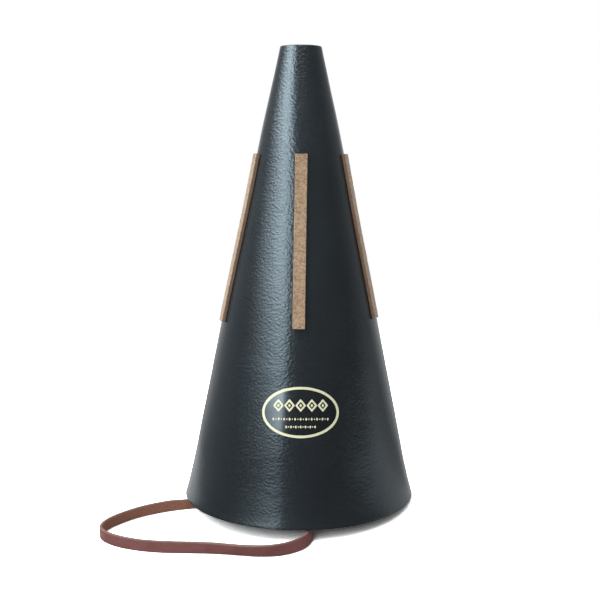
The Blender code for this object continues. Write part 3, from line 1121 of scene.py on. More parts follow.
@dataclass
class CorkStrips:
    """The strips bonded along the slope.

    Attributes:
        cone: The cone that carries them.
        count: How many there are, evenly round the cone, the first at the front.
        foot: Height of their lower ends.
        length: Length along the slope.
        width: Width.
        thickness: Thickness, square to the slope.
        seat: Height of their undersides above the cone.
        corner: Radius of the worn edges.
        gap: Distance between points along a strip.
        glue_shade_height: Height of the dark band on their sides, partly the bonded joint and partly painted
            contact shade.
        hollowed: How much of the cone's curve is taken off their outer faces.
        wear: Distance from an edge within which it is chipped.
        chip_depth: Depth of the chips.
        pore_depth: Depth of the open pores.
        wave_depth: Height of the slow unevenness.
        grit_depth: Height of the fine unevenness.
        trims: How far up its line each strip starts.
        shifts: How far each strip's foot and head were bonded to the side of its line.
    """

    cone: Cone
    count: int = 5
    foot: float = 113.8 * MM
    length: float = 103.4 * MM
    width: float = 7.3 * MM
    thickness: float = 2.3 * MM
    seat: float = 0.02 * MM
    corner: float = 0.28 * MM
    gap: float = 0.36 * MM
    glue_shade_height: float = 0.7 * MM
    hollowed: float = 0.85
    wear: float = 0.8 * MM
    chip_depth: float = 0.22 * MM
    pore_depth: float = 0.09 * MM
    wave_depth: float = 0.05 * MM
    grit_depth: float = 0.02 * MM
    trims: tuple[float, ...] = (0.0, 1.6 * MM, 0.4 * MM, -0.4 * MM, -1.2 * MM)
    shifts: tuple[tuple[float, float], ...] = (
        (-0.57 * MM, 0.55 * MM),
        (-1.0 * MM, 0.6 * MM),
        (0.3 * MM, -0.2 * MM),
        (-0.2 * MM, 0.3 * MM),
        (-1.2 * MM, 0.0),
    )

    def strip(self, number: int) -> Shape:
        """One strip's surface.

        The section is a rectangle with round corners, bent with the cone below and a little crowned on
        top. It is carried up the slope, and drawn together in five steps over each end. Noise along the
        normal breaks the edges and opens pores.

        Args:
            number: Which strip, from 0 at the front.

        Returns:
            The surface in the row frame.
        """
        half_width, half_thickness = 0.5 * self.width, 0.5 * self.thickness
        loop = rounded_box(half_width, half_thickness, self.corner, self.gap)
        start = self.trims[number]
        along = np.linspace(start, self.length, round((self.length - start) / self.gap) + 1)
        closing = np.array([0.02, 0.25, 0.5, 0.75, 0.93])
        share = np.concatenate([closing, np.ones(len(along)), closing[::-1]])
        level = np.concatenate([np.full(5, start), along, np.full(5, self.length)])
        foot_shift, head_shift = self.shifts[number]
        sideways = foot_shift + (head_shift - foot_shift) * level / self.length
        across = loop[None, :, 0] * share[:, None]
        rise = loop[None, :, 1] * share[:, None] + half_thickness
        height = self.foot + level * math.cos(self.cone.half_angle)
        radius = self.cone.radius(height)[:, None]
        beside = np.arcsin((across + sideways[:, None]) / (radius + rise))
        azimuth = 2.0 * math.pi * number / self.count + beside
        stands = np.clip(rise / self.thickness, 0.0, 1.0)
        flatter = stands * across**2 / (2.0 * radius) * self.hollowed
        height_grid = np.broadcast_to(height[:, None], azimuth.shape)
        points = self.cone.skin(azimuth, height_grid, self.seat + rise + flatter)
        normals = grid_normals(points)
        pores = ease(slow_noise(points, 0.85 * MM, 21 + number), 0.38, 0.80)
        edges = ease(np.abs(loop[:, 0]), half_width - self.wear, half_width)[None, :]
        to_end = np.minimum(level - start, self.length - level)[:, None]
        edges = np.maximum(edges, 1.0 - ease(to_end, 0.0, self.wear))
        chips = edges * ease(slow_noise(points, 1.3 * MM, 31 + number), 0.30, 0.90)
        grit = slow_noise(points, 0.42 * MM, 41 + number)
        waves = slow_noise(points, 9.0 * MM, 51 + number)
        moved = self.grit_depth * grit + self.wave_depth * waves
        moved = moved - self.pore_depth * pores - self.chip_depth * chips
        moved *= ease(rise, 0.1 * MM, 0.5 * MM)
        points = self.cone.stance.place(points + normals * moved[..., None])
        marks = ease(rise, 0.80 * self.thickness, 0.99 * self.thickness)
        # The mark falls to -1 at the foot of each side. There the cork material paints contact shade along
        # with the bonded joint.
        marks = marks + ease(rise, 0.0, self.glue_shade_height) - 1.0
        return grid_shape(points, Ends.POINTS, marks=marks)

    def build(self, finish: bpy.types.Material) -> None:
        """Makes each strip as a piece of its own."""
        for number in range(self.count):
            name = f"cork_strip_{number + 1}"
            make_piece(f"cork_{number + 1}", [self.strip(number)], [finish], (name,), 50.0)


@dataclass
class Label:
    """The oval label at the front, with a gold ring and a plain ornament where a name would be.

    Attributes:
        cone: The cone that carries it.
        height: Height of its centre.
        turn: Azimuth of its centre.
        half_width: Half the ring's size round the cone.
        half_height: Half the ring's size up the slope.
        ring: Width of the gold ring.
        margin: How far the film reaches beyond the ring.
        seat: Height of the film's underside above the cone.
        film: Height of the film's face above the cone.
        foil: Thickness of the foil.
        lozenge: Half the width and half the height of an open lozenge.
        lozenge_hole: Size of its hole, as a share.
        heart: Half the width and half the height of the diamond in it.
        lozenge_level: Height of the row of lozenges above the centre.
        lozenge_pitch: Distance from one lozenge to the next.
        lozenge_pairs: How many there are on each side of the middle one.
        bead_rows: The rows of beads: height above the centre, half length and distance between beads.
        bead: Half the width of a large bead.
        small_bead: Half the width of a small bead.
    """

    cone: Cone
    height: float = 66.34 * MM
    turn: float = 0.0152
    half_width: float = 22.94 * MM
    half_height: float = 14.89 * MM
    ring: float = 1.5 * MM
    margin: float = 0.35 * MM
    seat: float = 0.015 * MM
    film: float = 0.09 * MM
    foil: float = 0.03 * MM
    lozenge: tuple[float, float] = (3.1 * MM, 3.7 * MM)
    lozenge_hole: float = 0.58
    heart: tuple[float, float] = (0.8 * MM, 1.1 * MM)
    lozenge_level: float = 4.05 * MM
    lozenge_pitch: float = 6.5 * MM
    lozenge_pairs: int = 2
    bead_rows: tuple[tuple[float, float, float], ...] = (
        (-3.9 * MM, 16.0 * MM, 1.6 * MM),
        (-8.4 * MM, 8.5 * MM, 1.4 * MM),
    )
    bead: float = 0.62 * MM
    small_bead: float = 0.36 * MM

    def patch(self, outline: np.ndarray, low: float, high: float, rings: int) -> Shape:
        """A thin plate on the cone, inside an outline.

        Rings run from the middle of the face out to the outline, down its edge and back to the middle of
        the underside. Each ring is the outline drawn in towards its middle.

        Args:
            outline: Places from the label's centre, n by 2.
            low: Height of the underside above the cone.
            high: Height of the face above the cone.
            rings: Number of rings on the face.

        Returns:
            The surface in the row frame.
        """
        inwards = np.linspace(0.0, 0.97, rings)
        share = np.concatenate([inwards, [1.0, 1.0], inwards[::-1]])[:, None, None]
        lift = np.concatenate([np.full(rings, high), [high - 0.15 * (high - low)], np.full(rings + 1, low)])
        middle = outline.mean(axis=0)
        spread = middle + share * (outline - middle)[None]
        places = np.pad(spread, ((0, 0), (0, 1), (0, 0)), "wrap")
        return grid_shape(self.on_cone(spread, lift), Ends.POINTS, places)

    def on_cone(self, spread: np.ndarray, lift: np.ndarray) -> np.ndarray:
        """Places on the cone of a grid of places from the label's centre, with a height for each row."""
        lifts = np.broadcast_to(lift[:, None], spread.shape[:2])
        return self.cone.on_sheet(self.height, self.turn, spread[..., 0], spread[..., 1], lifts)

    def band(self, outer: np.ndarray, inner: np.ndarray) -> Shape:
        """A flat band of foil between two outlines, whose section is a rectangle with round corners.

        Args:
            outer: Outline from the label's centre, n by 2.
            inner: Another, point for point.

        Returns:
            The surface in the row frame.
        """
        line = np.linalg.norm(outer - inner, axis=1).mean()
        section = rounded_box(0.5 * line, 0.5 * self.foil, 0.4 * self.foil, 0.3 * MM)
        share = (section[:, 0] / line + 0.5)[:, None, None]
        spread = outer[None] + share * (inner - outer)[None]
        points = self.on_cone(spread, self.film + 0.5 * self.foil + section[:, 1])
        return grid_shape(points, Ends.JOINED, np.pad(spread, ((0, 1), (0, 1), (0, 0)), "wrap"))

    def oval(self, grown: float) -> np.ndarray:
        """The ring's outer edge, moved outwards square to itself.

        Args:
            grown: How far it is moved.

        Returns:
            The outline, n by 2.
        """
        turn = np.linspace(0.0, 2.0 * math.pi, 256, endpoint=False)
        size = np.array([self.half_width, self.half_height])
        round_it = np.stack([np.cos(turn), np.sin(turn)], axis=-1)
        square = round_it / size
        return round_it * size + grown * square / np.linalg.norm(square, axis=-1, keepdims=True)

    def diamond(self, x: float, y: float, half_width: float, half_height: float, bulge: float) -> np.ndarray:
        """Outline of a diamond: |x/a|^p + |y/b|^p = 1, with hollow sides below p = 1 and full ones above it.

        Args:
            x: Distance of its middle from the label's centre towards +X.
            y: Distance up the slope.
            half_width: a.
            half_height: b.
            bulge: p.

        Returns:
            The outline, n by 2.
        """
        turn = np.linspace(0.0, 2.0 * math.pi, 40, endpoint=False)
        round_it = np.stack([np.cos(turn), np.sin(turn)], axis=-1)
        bulging = np.sign(round_it) * np.abs(round_it) ** (2.0 / bulge)
        return np.array([x, y]) + [half_width, half_height] * bulging

    def bead_row(self, y: float, half_length: float, pitch: float) -> list[Shape]:
        """A row of diamonds, large and small by turns, as long as twice the half length.

        Args:
            y: Height of the row above the label's centre.
            half_length: Half its length.
            pitch: Distance from one diamond to the next.

        Returns:
            A surface for each diamond.
        """
        count = round(half_length / pitch)
        high = self.film + self.foil
        shapes = []
        for place in range(-count, count + 1):
            half = self.bead if place % 2 == 0 else self.small_bead
            outline = self.diamond(place * pitch, y, half, 1.5 * half, 1.1)
            shapes.append(self.patch(outline, self.film, high, 3))
        return shapes

    def ornament(self) -> list[Shape]:
        """A row of open lozenges, each with a diamond in it, and two rows of beads below them.

        Returns:
            All their surfaces.
        """
        shapes = [bead for row in self.bead_rows for bead in self.bead_row(*row)]
        for place in range(-self.lozenge_pairs, self.lozenge_pairs + 1):
            middle = np.array([place * self.lozenge_pitch, self.lozenge_level])
            outer = self.diamond(*middle, *self.lozenge, 1.05)
            shapes.append(self.band(outer, middle + self.lozenge_hole * (outer - middle)))
            heart = self.diamond(*middle, *self.heart, 1.0)
            shapes.append(self.patch(heart, self.film, self.film + self.foil, 4))
        return shapes

    def build(self, film: bpy.types.Material, foil: bpy.types.Material) -> None:
        """Makes the film, the ring and the ornament.

        Args:
            film: Finish of the label's field.
            foil: Finish of the ring and the ornament.
        """
        backing = self.patch(self.oval(self.margin), self.seat, self.film, 12)
        ring = self.band(self.oval(0.0), self.oval(-self.ring))
        make_piece("label_film", [backing], [film])
        make_piece("label_ring", [ring], [foil])
        make_piece("label_ornament", self.ornament(), [foil])


@dataclass
class ClosedEnd:
    """The plate that closes the wide end, the hoop below it, and the rivet with its washers.

    Attributes:
        cone: The cone that holds them.
        plate_depth: Rim to the plate's underside.
        plate_thickness: Thickness of the plate.
        hoop_thickness: Thickness of the hoop.
        strap_thickness: Thickness of each strap end under the plate.
        shank_radius: Radius of the rivet's shank.
        head_radius: Radius of the rivet's head.
        head_height: Height of the rivet's head.
        tail_radius: Radius of the spread tail.
        tail_height: Height of the spread tail.
        washer_radius: Outside radius of the washers.
        washer_thickness: Thickness of the washers.
        hole_clearance: Between the shank and each hole.
        fit: Gap between pieces that touch.
    """

    cone: Cone
    plate_depth: float = 9.5 * MM
    plate_thickness: float = 3.0 * MM
    hoop_thickness: float = 1.8 * MM
    strap_thickness: float = 2.0 * MM
    shank_radius: float = 1.5 * MM
    head_radius: float = 4.5 * MM
    head_height: float = 1.6 * MM
    tail_radius: float = 2.7 * MM
    tail_height: float = 1.0 * MM
    washer_radius: float = 5.0 * MM
    washer_thickness: float = 0.6 * MM
    hole_clearance: float = 0.2 * MM
    fit: float = 0.3 * MM

    def bore(self, height: float) -> float:
        """Radius of a piece that seats in the bore at a height."""
        gap = self.fit / math.cos(self.cone.half_angle)
        return self.cone.radius(height) - self.cone.depth_of_wall() - gap

    def hole(self) -> float:
        """Radius of the hole round the shank."""
        return self.shank_radius + self.hole_clearance

    def first_end(self) -> float:
        """Height of the middle of the strap's upper end."""
        return self.plate_depth - self.fit - 0.5 * self.strap_thickness

    def second_end(self) -> float:
        """Height of the middle of the strap's lower end."""
        return self.first_end() - self.strap_thickness - self.fit

    def turned(self, loop: np.ndarray, ends: Ends, columns: int, uneven: float, seed: int) -> Shape:
        """Turns a section of radii and heights about the axis, and roughens it by noise up the axis.

        Args:
            loop: The section, n by 2.
            ends: How its ends close.
            columns: Points round the axis.
            uneven: Height of the noise.
            seed: Seed of the noise.

        Returns:
            The surface in the row frame.
        """
        turn = np.linspace(0.0, 2.0 * math.pi, columns, endpoint=False)
        azimuth, radius = np.meshgrid(turn, loop[:, 0])
        points = outward(azimuth) * radius[..., None] + UP * loop[:, None, 1, None]
        points = points + UP * (uneven * slow_noise(points, 9.0 * MM, seed))[..., None]
        joined = int(ends is Ends.JOINED)
        around = np.append(turn, 2.0 * math.pi)
        reach = np.append(loop, loop[:1], axis=0) if joined else loop
        walked = walk(reach)
        places = np.stack(np.meshgrid(around * loop[:, 0].max(), walked), axis=-1)
        return grid_shape(self.cone.stance.place(points), ends, places)

    def ring(
        self, inner: float, outer: float, low: float, high: float, corner: float, gap: float
    ) -> np.ndarray:
        """Section of a flat ring with round corners, as radii and heights."""
        loop = rounded_box(0.5 * (outer - inner), 0.5 * (high - low), corner, gap)
        return loop + [0.5 * (outer + inner), 0.5 * (high + low)]

    def plate(self) -> Shape:
        """The plate: a ring's section whose edge follows the bore's taper.

        Returns:
            The surface in the row frame.
        """
        top, low = self.plate_depth + self.plate_thickness, self.plate_depth
        outer = self.bore(low)
        loop = self.ring(self.hole(), outer, low, top, 0.3 * MM, 1.6 * MM)
        edge_reach = 3.0 * MM
        near_edge = ease(loop[:, 0], outer - edge_reach, outer)
        loop[:, 0] -= near_edge * (loop[:, 1] - low) * math.tan(self.cone.half_angle)
        return self.turned(loop, Ends.JOINED, 192, 0.10 * MM, 61)

    def hoop(self) -> Shape:
        """The hoop: a standing strip that leans with the bore.

        Returns:
            The surface in the row frame.
        """
        top = self.plate_depth - self.fit
        loop = self.ring(-self.hoop_thickness, 0.0, 0.0, top, 0.35 * MM, 0.7 * MM)
        loop[:, 0] += self.bore(0.0) - loop[:, 1] * math.tan(self.cone.half_angle)
        return self.turned(loop, Ends.JOINED, 256, 0.0, 62)

    def washer(self, foot: float) -> Shape:
        """A washer with its edges broken.

        Args:
            foot: Height of its underside.

        Returns:
            The surface in the row frame.
        """
        top = foot + self.washer_thickness
        loop = self.ring(self.hole(), self.washer_radius, foot, top, 0.15 * MM, 0.3 * MM)
        return self.turned(loop, Ends.JOINED, 96, 0.0, 63)

    def rivet(self) -> Shape:
        """The rivet: a hollowed tail rolled over the inner washer, the shank, and a domed head below.

        Returns:
            The surface in the row frame.
        """
        inner_washer = self.plate_depth + self.plate_thickness + self.fit
        tail_seat = inner_washer + self.washer_thickness + self.fit
        head_seat = self.second_end() - 0.5 * self.strap_thickness - 2.0 * self.fit - self.washer_thickness
        roll = 0.5 * self.tail_height
        lip = np.radians(np.linspace(150.0, -90.0, 13))
        rolled = np.stack([np.cos(lip), np.sin(lip)], 1) * roll
        rolled = [self.tail_radius - roll, tail_seat + roll] + rolled
        pit = np.array([(0.0, -0.4 * MM), (0.5, -0.35 * MM), (0.85, 0.2 * MM)])
        pit = pit * [self.shank_radius, 1.0] + [0.0, tail_seat]
        shank = np.array([[self.shank_radius, tail_seat], [self.shank_radius, head_seat]])
        broken = 0.2 * MM
        seat = np.array([[self.head_radius - broken, head_seat]])
        dome = np.radians(np.linspace(0.0, 90.0, 14))
        dome = np.stack([np.cos(dome), -np.sin(dome)], 1) * [self.head_radius, self.head_height - broken]
        dome = dome + [0.0, head_seat - broken]
        return self.turned(np.concatenate([pit, rolled, shank, seat, dome]), Ends.POINTS, 96, 0.0, 64)

    def build(self, board: bpy.types.Material, cut: bpy.types.Material, brass: bpy.types.Material) -> None:
        """Makes the plate, the hoop, the washers and the rivet.

        Args:
            board: Finish of the plate.
            cut: Finish of the hoop.
            brass: Finish of the rivet and the washers.
        """
        inner = self.plate_depth + self.plate_thickness + self.fit
        outer = self.second_end() - 0.5 * self.strap_thickness - self.fit - self.washer_thickness
        make_piece("end_plate", [self.plate()], [board], ("base_plate",))
        make_piece("rim_hoop", [self.hoop()], [cut], ("base_hoop",))
        make_piece("rivet", [self.rivet()], [brass], ("strap_rivet",))
        make_piece("washer_inside", [self.washer(inner)], [brass], ("inner_washer",))
        make_piece("washer_below", [self.washer(outer)], [brass], ("outer_washer",))


@dataclass
class WristStrap:
    """The leather strap: both ends under the rivet, and the rest on its edge in a loop.

    Attributes:
        end: The closed end that it is riveted to.
        width: Width of the band.
        thickness: Thickness of the band.
        fuller: How much wider the band is outside the rim, where nothing presses on it.
        pressed: Distances from the origin between which the band widens by that.
        corner: Radius of the worn edges.
        tail: Cut end to the rivet.
        flat: Length past the rivet that still lies flat on the plate.
        gap: Distance between points along the band.
        on_edge: Roll of the band on its edge, in degrees, where flat is none.
        route: The middle of the band where it stands on its edge: x, y and how far its top leans into the
            loop, in degrees, from below the plate out under the rim, round the loop and back in.
    """

    end: ClosedEnd
    width: float = 6.5 * MM
    thickness: float = 2.0 * MM
    fuller: float = 0.55 * MM
    pressed: tuple[float, float] = (74.0 * MM, 84.0 * MM)
    corner: float = 0.55 * MM
    tail: float = 6.5 * MM
    flat: float = 6.0 * MM
    gap: float = 0.6 * MM
    on_edge: float = 90.0
    route: tuple[tuple[float, float, float], ...] = (
        (-0.0465, -0.0126, 0.0),
        (-0.0566, -0.0141, 0.0),
        (-0.0661, -0.0158, 0.0),
        (-0.0761, -0.0180, 0.0),
        (-0.0874, -0.0220, 2.0),
        (-0.0991, -0.0286, 6.0),
        (-0.1099, -0.0384, 7.0),
        (-0.1164, -0.0483, 4.0),
        (-0.1173, -0.0569, 0.0),
        (-0.1133, -0.0642, 0.0),
        (-0.1047, -0.0711, 0.0),
        (-0.0912, -0.0774, -1.0),
        (-0.0775, -0.0806, 0.0),
        (-0.0619, -0.0826, -4.0),
        (-0.0464, -0.0849, -10.0),
        (-0.0332, -0.0881, -16.0),
        (-0.0221, -0.0899, -10.0),
        (-0.0116, -0.0891, 0.0),
        (-0.0029, -0.0852, 8.0),
        (0.0029, -0.0794, 16.0),
        (0.0058, -0.0725, 20.0),
        (0.0070, -0.0645, 20.0),
        (0.0072, -0.0560, 16.0),
    )

    def section_height(self, roll: np.ndarray) -> np.ndarray:
        """Height of the band's section at a roll: width times the sine plus thickness times the cosine."""
        turned = np.radians(roll)
        return self.width * np.abs(np.sin(turned)) + self.thickness * np.abs(np.cos(turned))

    def end_points(self, level: float, towards: tuple[float, float, float]) -> np.ndarray:
        """One end of the band, flat against the plate, from its cut end outwards: x, y, z and roll.

        Args:
            level: Height of the band's middle there.
            towards: The point of the route that it leads to.

        Returns:
            The points, n by 4, in the row frame.
        """
        bearing = np.array(math.atan2(towards[0], -towards[1]))
        reaches = np.array([-self.tail, -0.4 * self.tail, 0.3 * self.flat, self.flat])
        places = outward(bearing) * reaches[:, None] + UP * level
        return np.column_stack([self.end.cone.stance.place(places), np.zeros(len(reaches))])

    def centreline(self) -> np.ndarray:
        """The band's centreline as x, y, z and roll.

        It is the natural cubic spline through the ends' points and the route's, over their chord length,
        kept high enough for the section to stand on the surface. The spline's bends solve the usual
        three-term equations, in which the second derivative is none at both ends.

        Returns:
            The points, n by 4, in the row frame.
        """
        route = np.array(self.route)
        roll = self.on_edge - route[:, 2]
        standing = np.column_stack([route[:, :2], 0.5 * self.section_height(roll), roll])
        first = self.end_points(self.end.first_end(), self.route[0])
        second = self.end_points(self.end.second_end(), self.route[-1])
        points = np.concatenate([first, standing, second[::-1]])
        along = walk(points[:, :3])
        step = np.diff(along)
        slope = np.diff(points, axis=0) / step[:, None]
        inner = np.arange(1, len(points) - 1)
        system, right = np.eye(len(points)), np.zeros_like(points)
        system[inner, inner - 1], system[inner, inner + 1] = step[:-1], step[1:]
        system[inner, inner] = 2.0 * (step[:-1] + step[1:])
        right[inner] = 6.0 * np.diff(slope, axis=0)
        bend = np.linalg.solve(system, right)
        at = np.linspace(0.0, along[-1], round(along[-1] / self.gap) + 1)
        i = np.clip(np.searchsorted(along, at, side="right") - 1, 0, len(points) - 2)
        before, after, width = (at - along[i])[:, None], (along[i + 1] - at)[:, None], step[i][:, None]
        line = (bend[i] * after**3 + bend[i + 1] * before**3) / (6.0 * width)
        line += (points[i] / width - bend[i] * width / 6.0) * after
        line += (points[i + 1] / width - bend[i + 1] * width / 6.0) * before
        line[:, 2] = np.maximum(line[:, 2], 0.5 * self.section_height(line[:, 3]))
        return line

    def band(self, line: np.ndarray) -> Shape:
        """Carries the section along the centreline.

        At a roll r the width runs along cos r times the level side plus sin r times the upright, and the
        grain face looks along minus sin r times the side plus cos r times the upright. The side is the
        upright cross the direction of travel. Each end is drawn together in four steps.

        Args:
            line: The centreline, as x, y, z and roll.

        Returns:
            The surface in the row frame, marked 1 on the grain face and -1 on the flesh face.
        """
        loop = rounded_box(0.5 * self.width, 0.5 * self.thickness, self.corner, 0.32 * MM)
        travel = np.gradient(line[:, :3], axis=0)
        travel /= np.linalg.norm(travel, axis=1, keepdims=True)
        side = np.cross(UP, travel)
        side /= np.linalg.norm(side, axis=1, keepdims=True)
        upright = np.cross(travel, side)
        roll = np.radians(line[:, 3])[:, None]
        wide = np.cos(roll) * side + np.sin(roll) * upright
        proud = np.cos(roll) * upright - np.sin(roll) * side
        closing = np.array([0.05, 0.45, 0.80, 0.95])
        rows = np.concatenate([np.zeros(4, int), np.arange(len(line)), np.full(4, len(line) - 1)])
        share = np.concatenate([closing, np.ones(len(line)), closing[::-1]])[:, None, None]
        away = np.hypot(line[rows, 0], line[rows, 1])
        spread = self.fuller * ease(away, *self.pressed)[:, None, None]
        across = loop[None, :, 0, None] * share * (1.0 + spread / self.width)
        out = loop[None, :, 1, None] * share
        centre = line[rows, None, :3] + 0.5 * spread * UP
        points = centre + across * wide[rows, None] + out * proud[rows, None]
        worn = slow_noise(points, 7.0 * MM, 71) * 0.06 * MM + slow_noise(points, 1.4 * MM, 72) * 0.025 * MM
        lowest = points[..., 2] - 0.5 * MM
        points = points + (worn * ease(lowest, 0.0, 0.6 * MM))[..., None] * grid_normals(points)
        walked, girth = walk(line[:, :3]), walk(np.append(loop, loop[:1], axis=0))
        places = np.stack(np.meshgrid(walked[rows], girth, indexing="ij"), axis=-1)
        places[:4, :, 0] -= np.linspace(0.9, 0.1, 4)[:, None] * self.thickness
        places[-4:, :, 0] += np.linspace(0.1, 0.9, 4)[:, None] * self.thickness
        flat_share = np.clip(np.abs(loop[:, 0]) / (0.5 * self.width - self.corner), 0.0, None)
        marks = loop[:, 1] / (0.5 * self.thickness) * (1.0 - 0.3 * ease(flat_share, 1.0, 1.15))
        marks = np.broadcast_to(marks[None], points.shape[:2]) * share[..., 0]
        return grid_shape(points, Ends.POINTS, places, marks=marks)

    def build(self, finish: bpy.types.Material) -> None:
        """Args:
            finish: Finish of the leather.
        """
        line = self.centreline()
        strap = make_piece("strap", [self.band(line)], [finish], ("wrist_strap",), 60.0)
        self.drill(strap)
        rivet = self.end.cone.stance.place(UP * self.end.first_end())

    def drill(self, strap: bpy.types.Object) -> None:
        """Cuts the rivet's hole through both ends, with a plug turned on the mute's axis.

        Args:
            strap: The strap's piece.
        """
        turn = np.linspace(0.0, 2.0 * math.pi, 48, endpoint=False)
        radius = self.end.hole() * np.array([0.0, 1.0, 1.0, 0.0])
        level = np.array([0.0, 0.0, self.end.plate_depth, self.end.plate_depth])
        azimuth, radius_grid = np.meshgrid(turn, radius)
        points = outward(azimuth) * radius_grid[..., None] + UP * level[:, None, None]
        shape = grid_shape(self.end.cone.stance.place(points), Ends.POINTS)
        plug_mesh = bpy.data.meshes.new("plug")
        plug_mesh.from_pydata(shape.points.tolist(), [], shape.quads.tolist() + shape.triangles.tolist())
        plug = bpy.data.objects.new("plug", plug_mesh)
        bpy.context.scene.collection.objects.link(plug)
        cut = strap.modifiers.new("rivet_hole", "BOOLEAN")
        cut.operation, cut.solver, cut.object = "DIFFERENCE", "EXACT", plug
        bpy.context.view_layer.update()
        whole = bpy.data.meshes.new_from_object(strap.evaluated_get(bpy.context.evaluated_depsgraph_get()))
        strap.modifiers.clear()
        strap.data = whole
        bpy.data.objects.remove(plug)


@dataclass(frozen=True)
class Lamp:
    """A soft lamp: a rectangle that faces a point of the mute.

    Attributes:
        name: The lamp's name.
        azimuth: Where it stands round the mute, in degrees from the front towards +X.
        elevation: How high it stands, in degrees above the level of the point.
        distance: How far from the point.
        width: Size of the rectangle across.
        height: Size of the rectangle up.
        radiance: Its brightness, where 1 is white.
        aim_height: Height of the point that it faces, above the surface.
        colour: Its colour.
        left: Where its brightness starts and stops growing from its left side, in widths, and how far that
            moves left from its foot to its top.
        right: Where it stops and starts falling towards its right side, and how far that moves left.
        up: Where it starts and stops growing towards its top, in heights.
    """

    name: str
    azimuth: float
    elevation: float
    distance: float
    width: float
    height: float
    radiance: float
    aim_height: float = 0.14
    colour: Colour = WHITE
    left: tuple[float, float, float] = (-2.0, -1.0, 0.0)
    right: tuple[float, float, float] = (3.0, 2.0, 0.0)
    up: tuple[float, float] = (-2.0, -1.0)

    def build(self) -> None:
        """Makes the lamp; its power is its radiance times pi times its area."""
        data = bpy.data.lights.new(self.name, "AREA")
        data.use_nodes = True
        recipe = Recipe(data.node_tree)
        spot = recipe.value("ShaderNodeNewGeometry", output="Parametric")
        x, y = recipe.axis(spot, "X"), recipe.axis(spot, "Y")
        pattern = y.rise(*self.up)
        for start, stop, slant in (self.left, self.right):
            pattern = pattern * (x + (y - 0.5) * slant).rise(start, stop)
        shader = recipe.value("ShaderNodeEmission", {}, {"Strength": pattern})
        recipe.node("ShaderNodeOutputLight", {}, {"Surface": shader})
        data.shape = "RECTANGLE"
        data.size, data.size_y = self.width, self.height
        data.energy = self.radiance * math.pi * self.width * self.height
        data.color = self.colour
        lamp = bpy.data.objects.new(self.name, data)
        bpy.context.scene.collection.objects.link(lamp)
        azimuth, elevation = math.radians(self.azimuth), math.radians(self.elevation)
        back = math.cos(elevation) * outward(np.array(azimuth)) + math.sin(elevation) * UP
        side = np.cross(UP, back)
        side /= np.linalg.norm(side)
        frame = np.eye(4)
        frame[:3, :3] = np.stack([side, np.cross(back, side), back], axis=1)
        frame[:3, 3] = UP * self.aim_height + back * self.distance
        lamp.matrix_world = Matrix(frame.tolist())


@dataclass(frozen=True)
class Camera:
    """The photograph's camera, given in the mute's own frame.

    Attributes:
        place: Where it stands.
        pitch: How far it looks down, in radians.
        roll: How far it is turned about its line of sight, in radians.
        focal: Focal length in widths of the frame.
        sensor: Width of the sensor in millimetres.
    """

    place: tuple[float, float, float] = (0.161 * MM, -641.66 * MM, 215.90 * MM)
    pitch: float = 0.14202
    roll: float = 0.00507
    focal: float = 1028.573 / 600.0
    sensor: float = 36.0

    def build(self, stance: Stance) -> None:
        """Makes the camera and sets it down with the mute.

        Args:
            stance: How the mute stands.
        """
        ahead = np.array([0.0, math.cos(self.pitch), -math.sin(self.pitch)])
        above = np.array([0.0, math.sin(self.pitch), math.cos(self.pitch)])
        level = np.array([1.0, 0.0, 0.0])
        right = math.cos(self.roll) * level + math.sin(self.roll) * above
        top = math.cos(self.roll) * above - math.sin(self.roll) * level
        data = bpy.data.cameras.new("camera")
        data.sensor_width = self.sensor
        data.lens = self.focal * self.sensor
        data.clip_start, data.clip_end = 0.01, 60.0
        camera = bpy.data.objects.new("camera", data)
        bpy.context.scene.collection.objects.link(camera)
        frame = np.eye(4)
        frame[:3, :3] = stance.axes @ np.stack([right, top, -ahead], axis=1)
        frame[:3, 3] = stance.place(np.array(self.place))
        camera.matrix_world = Matrix(frame.tolist())
        bpy.context.scene.camera = camera


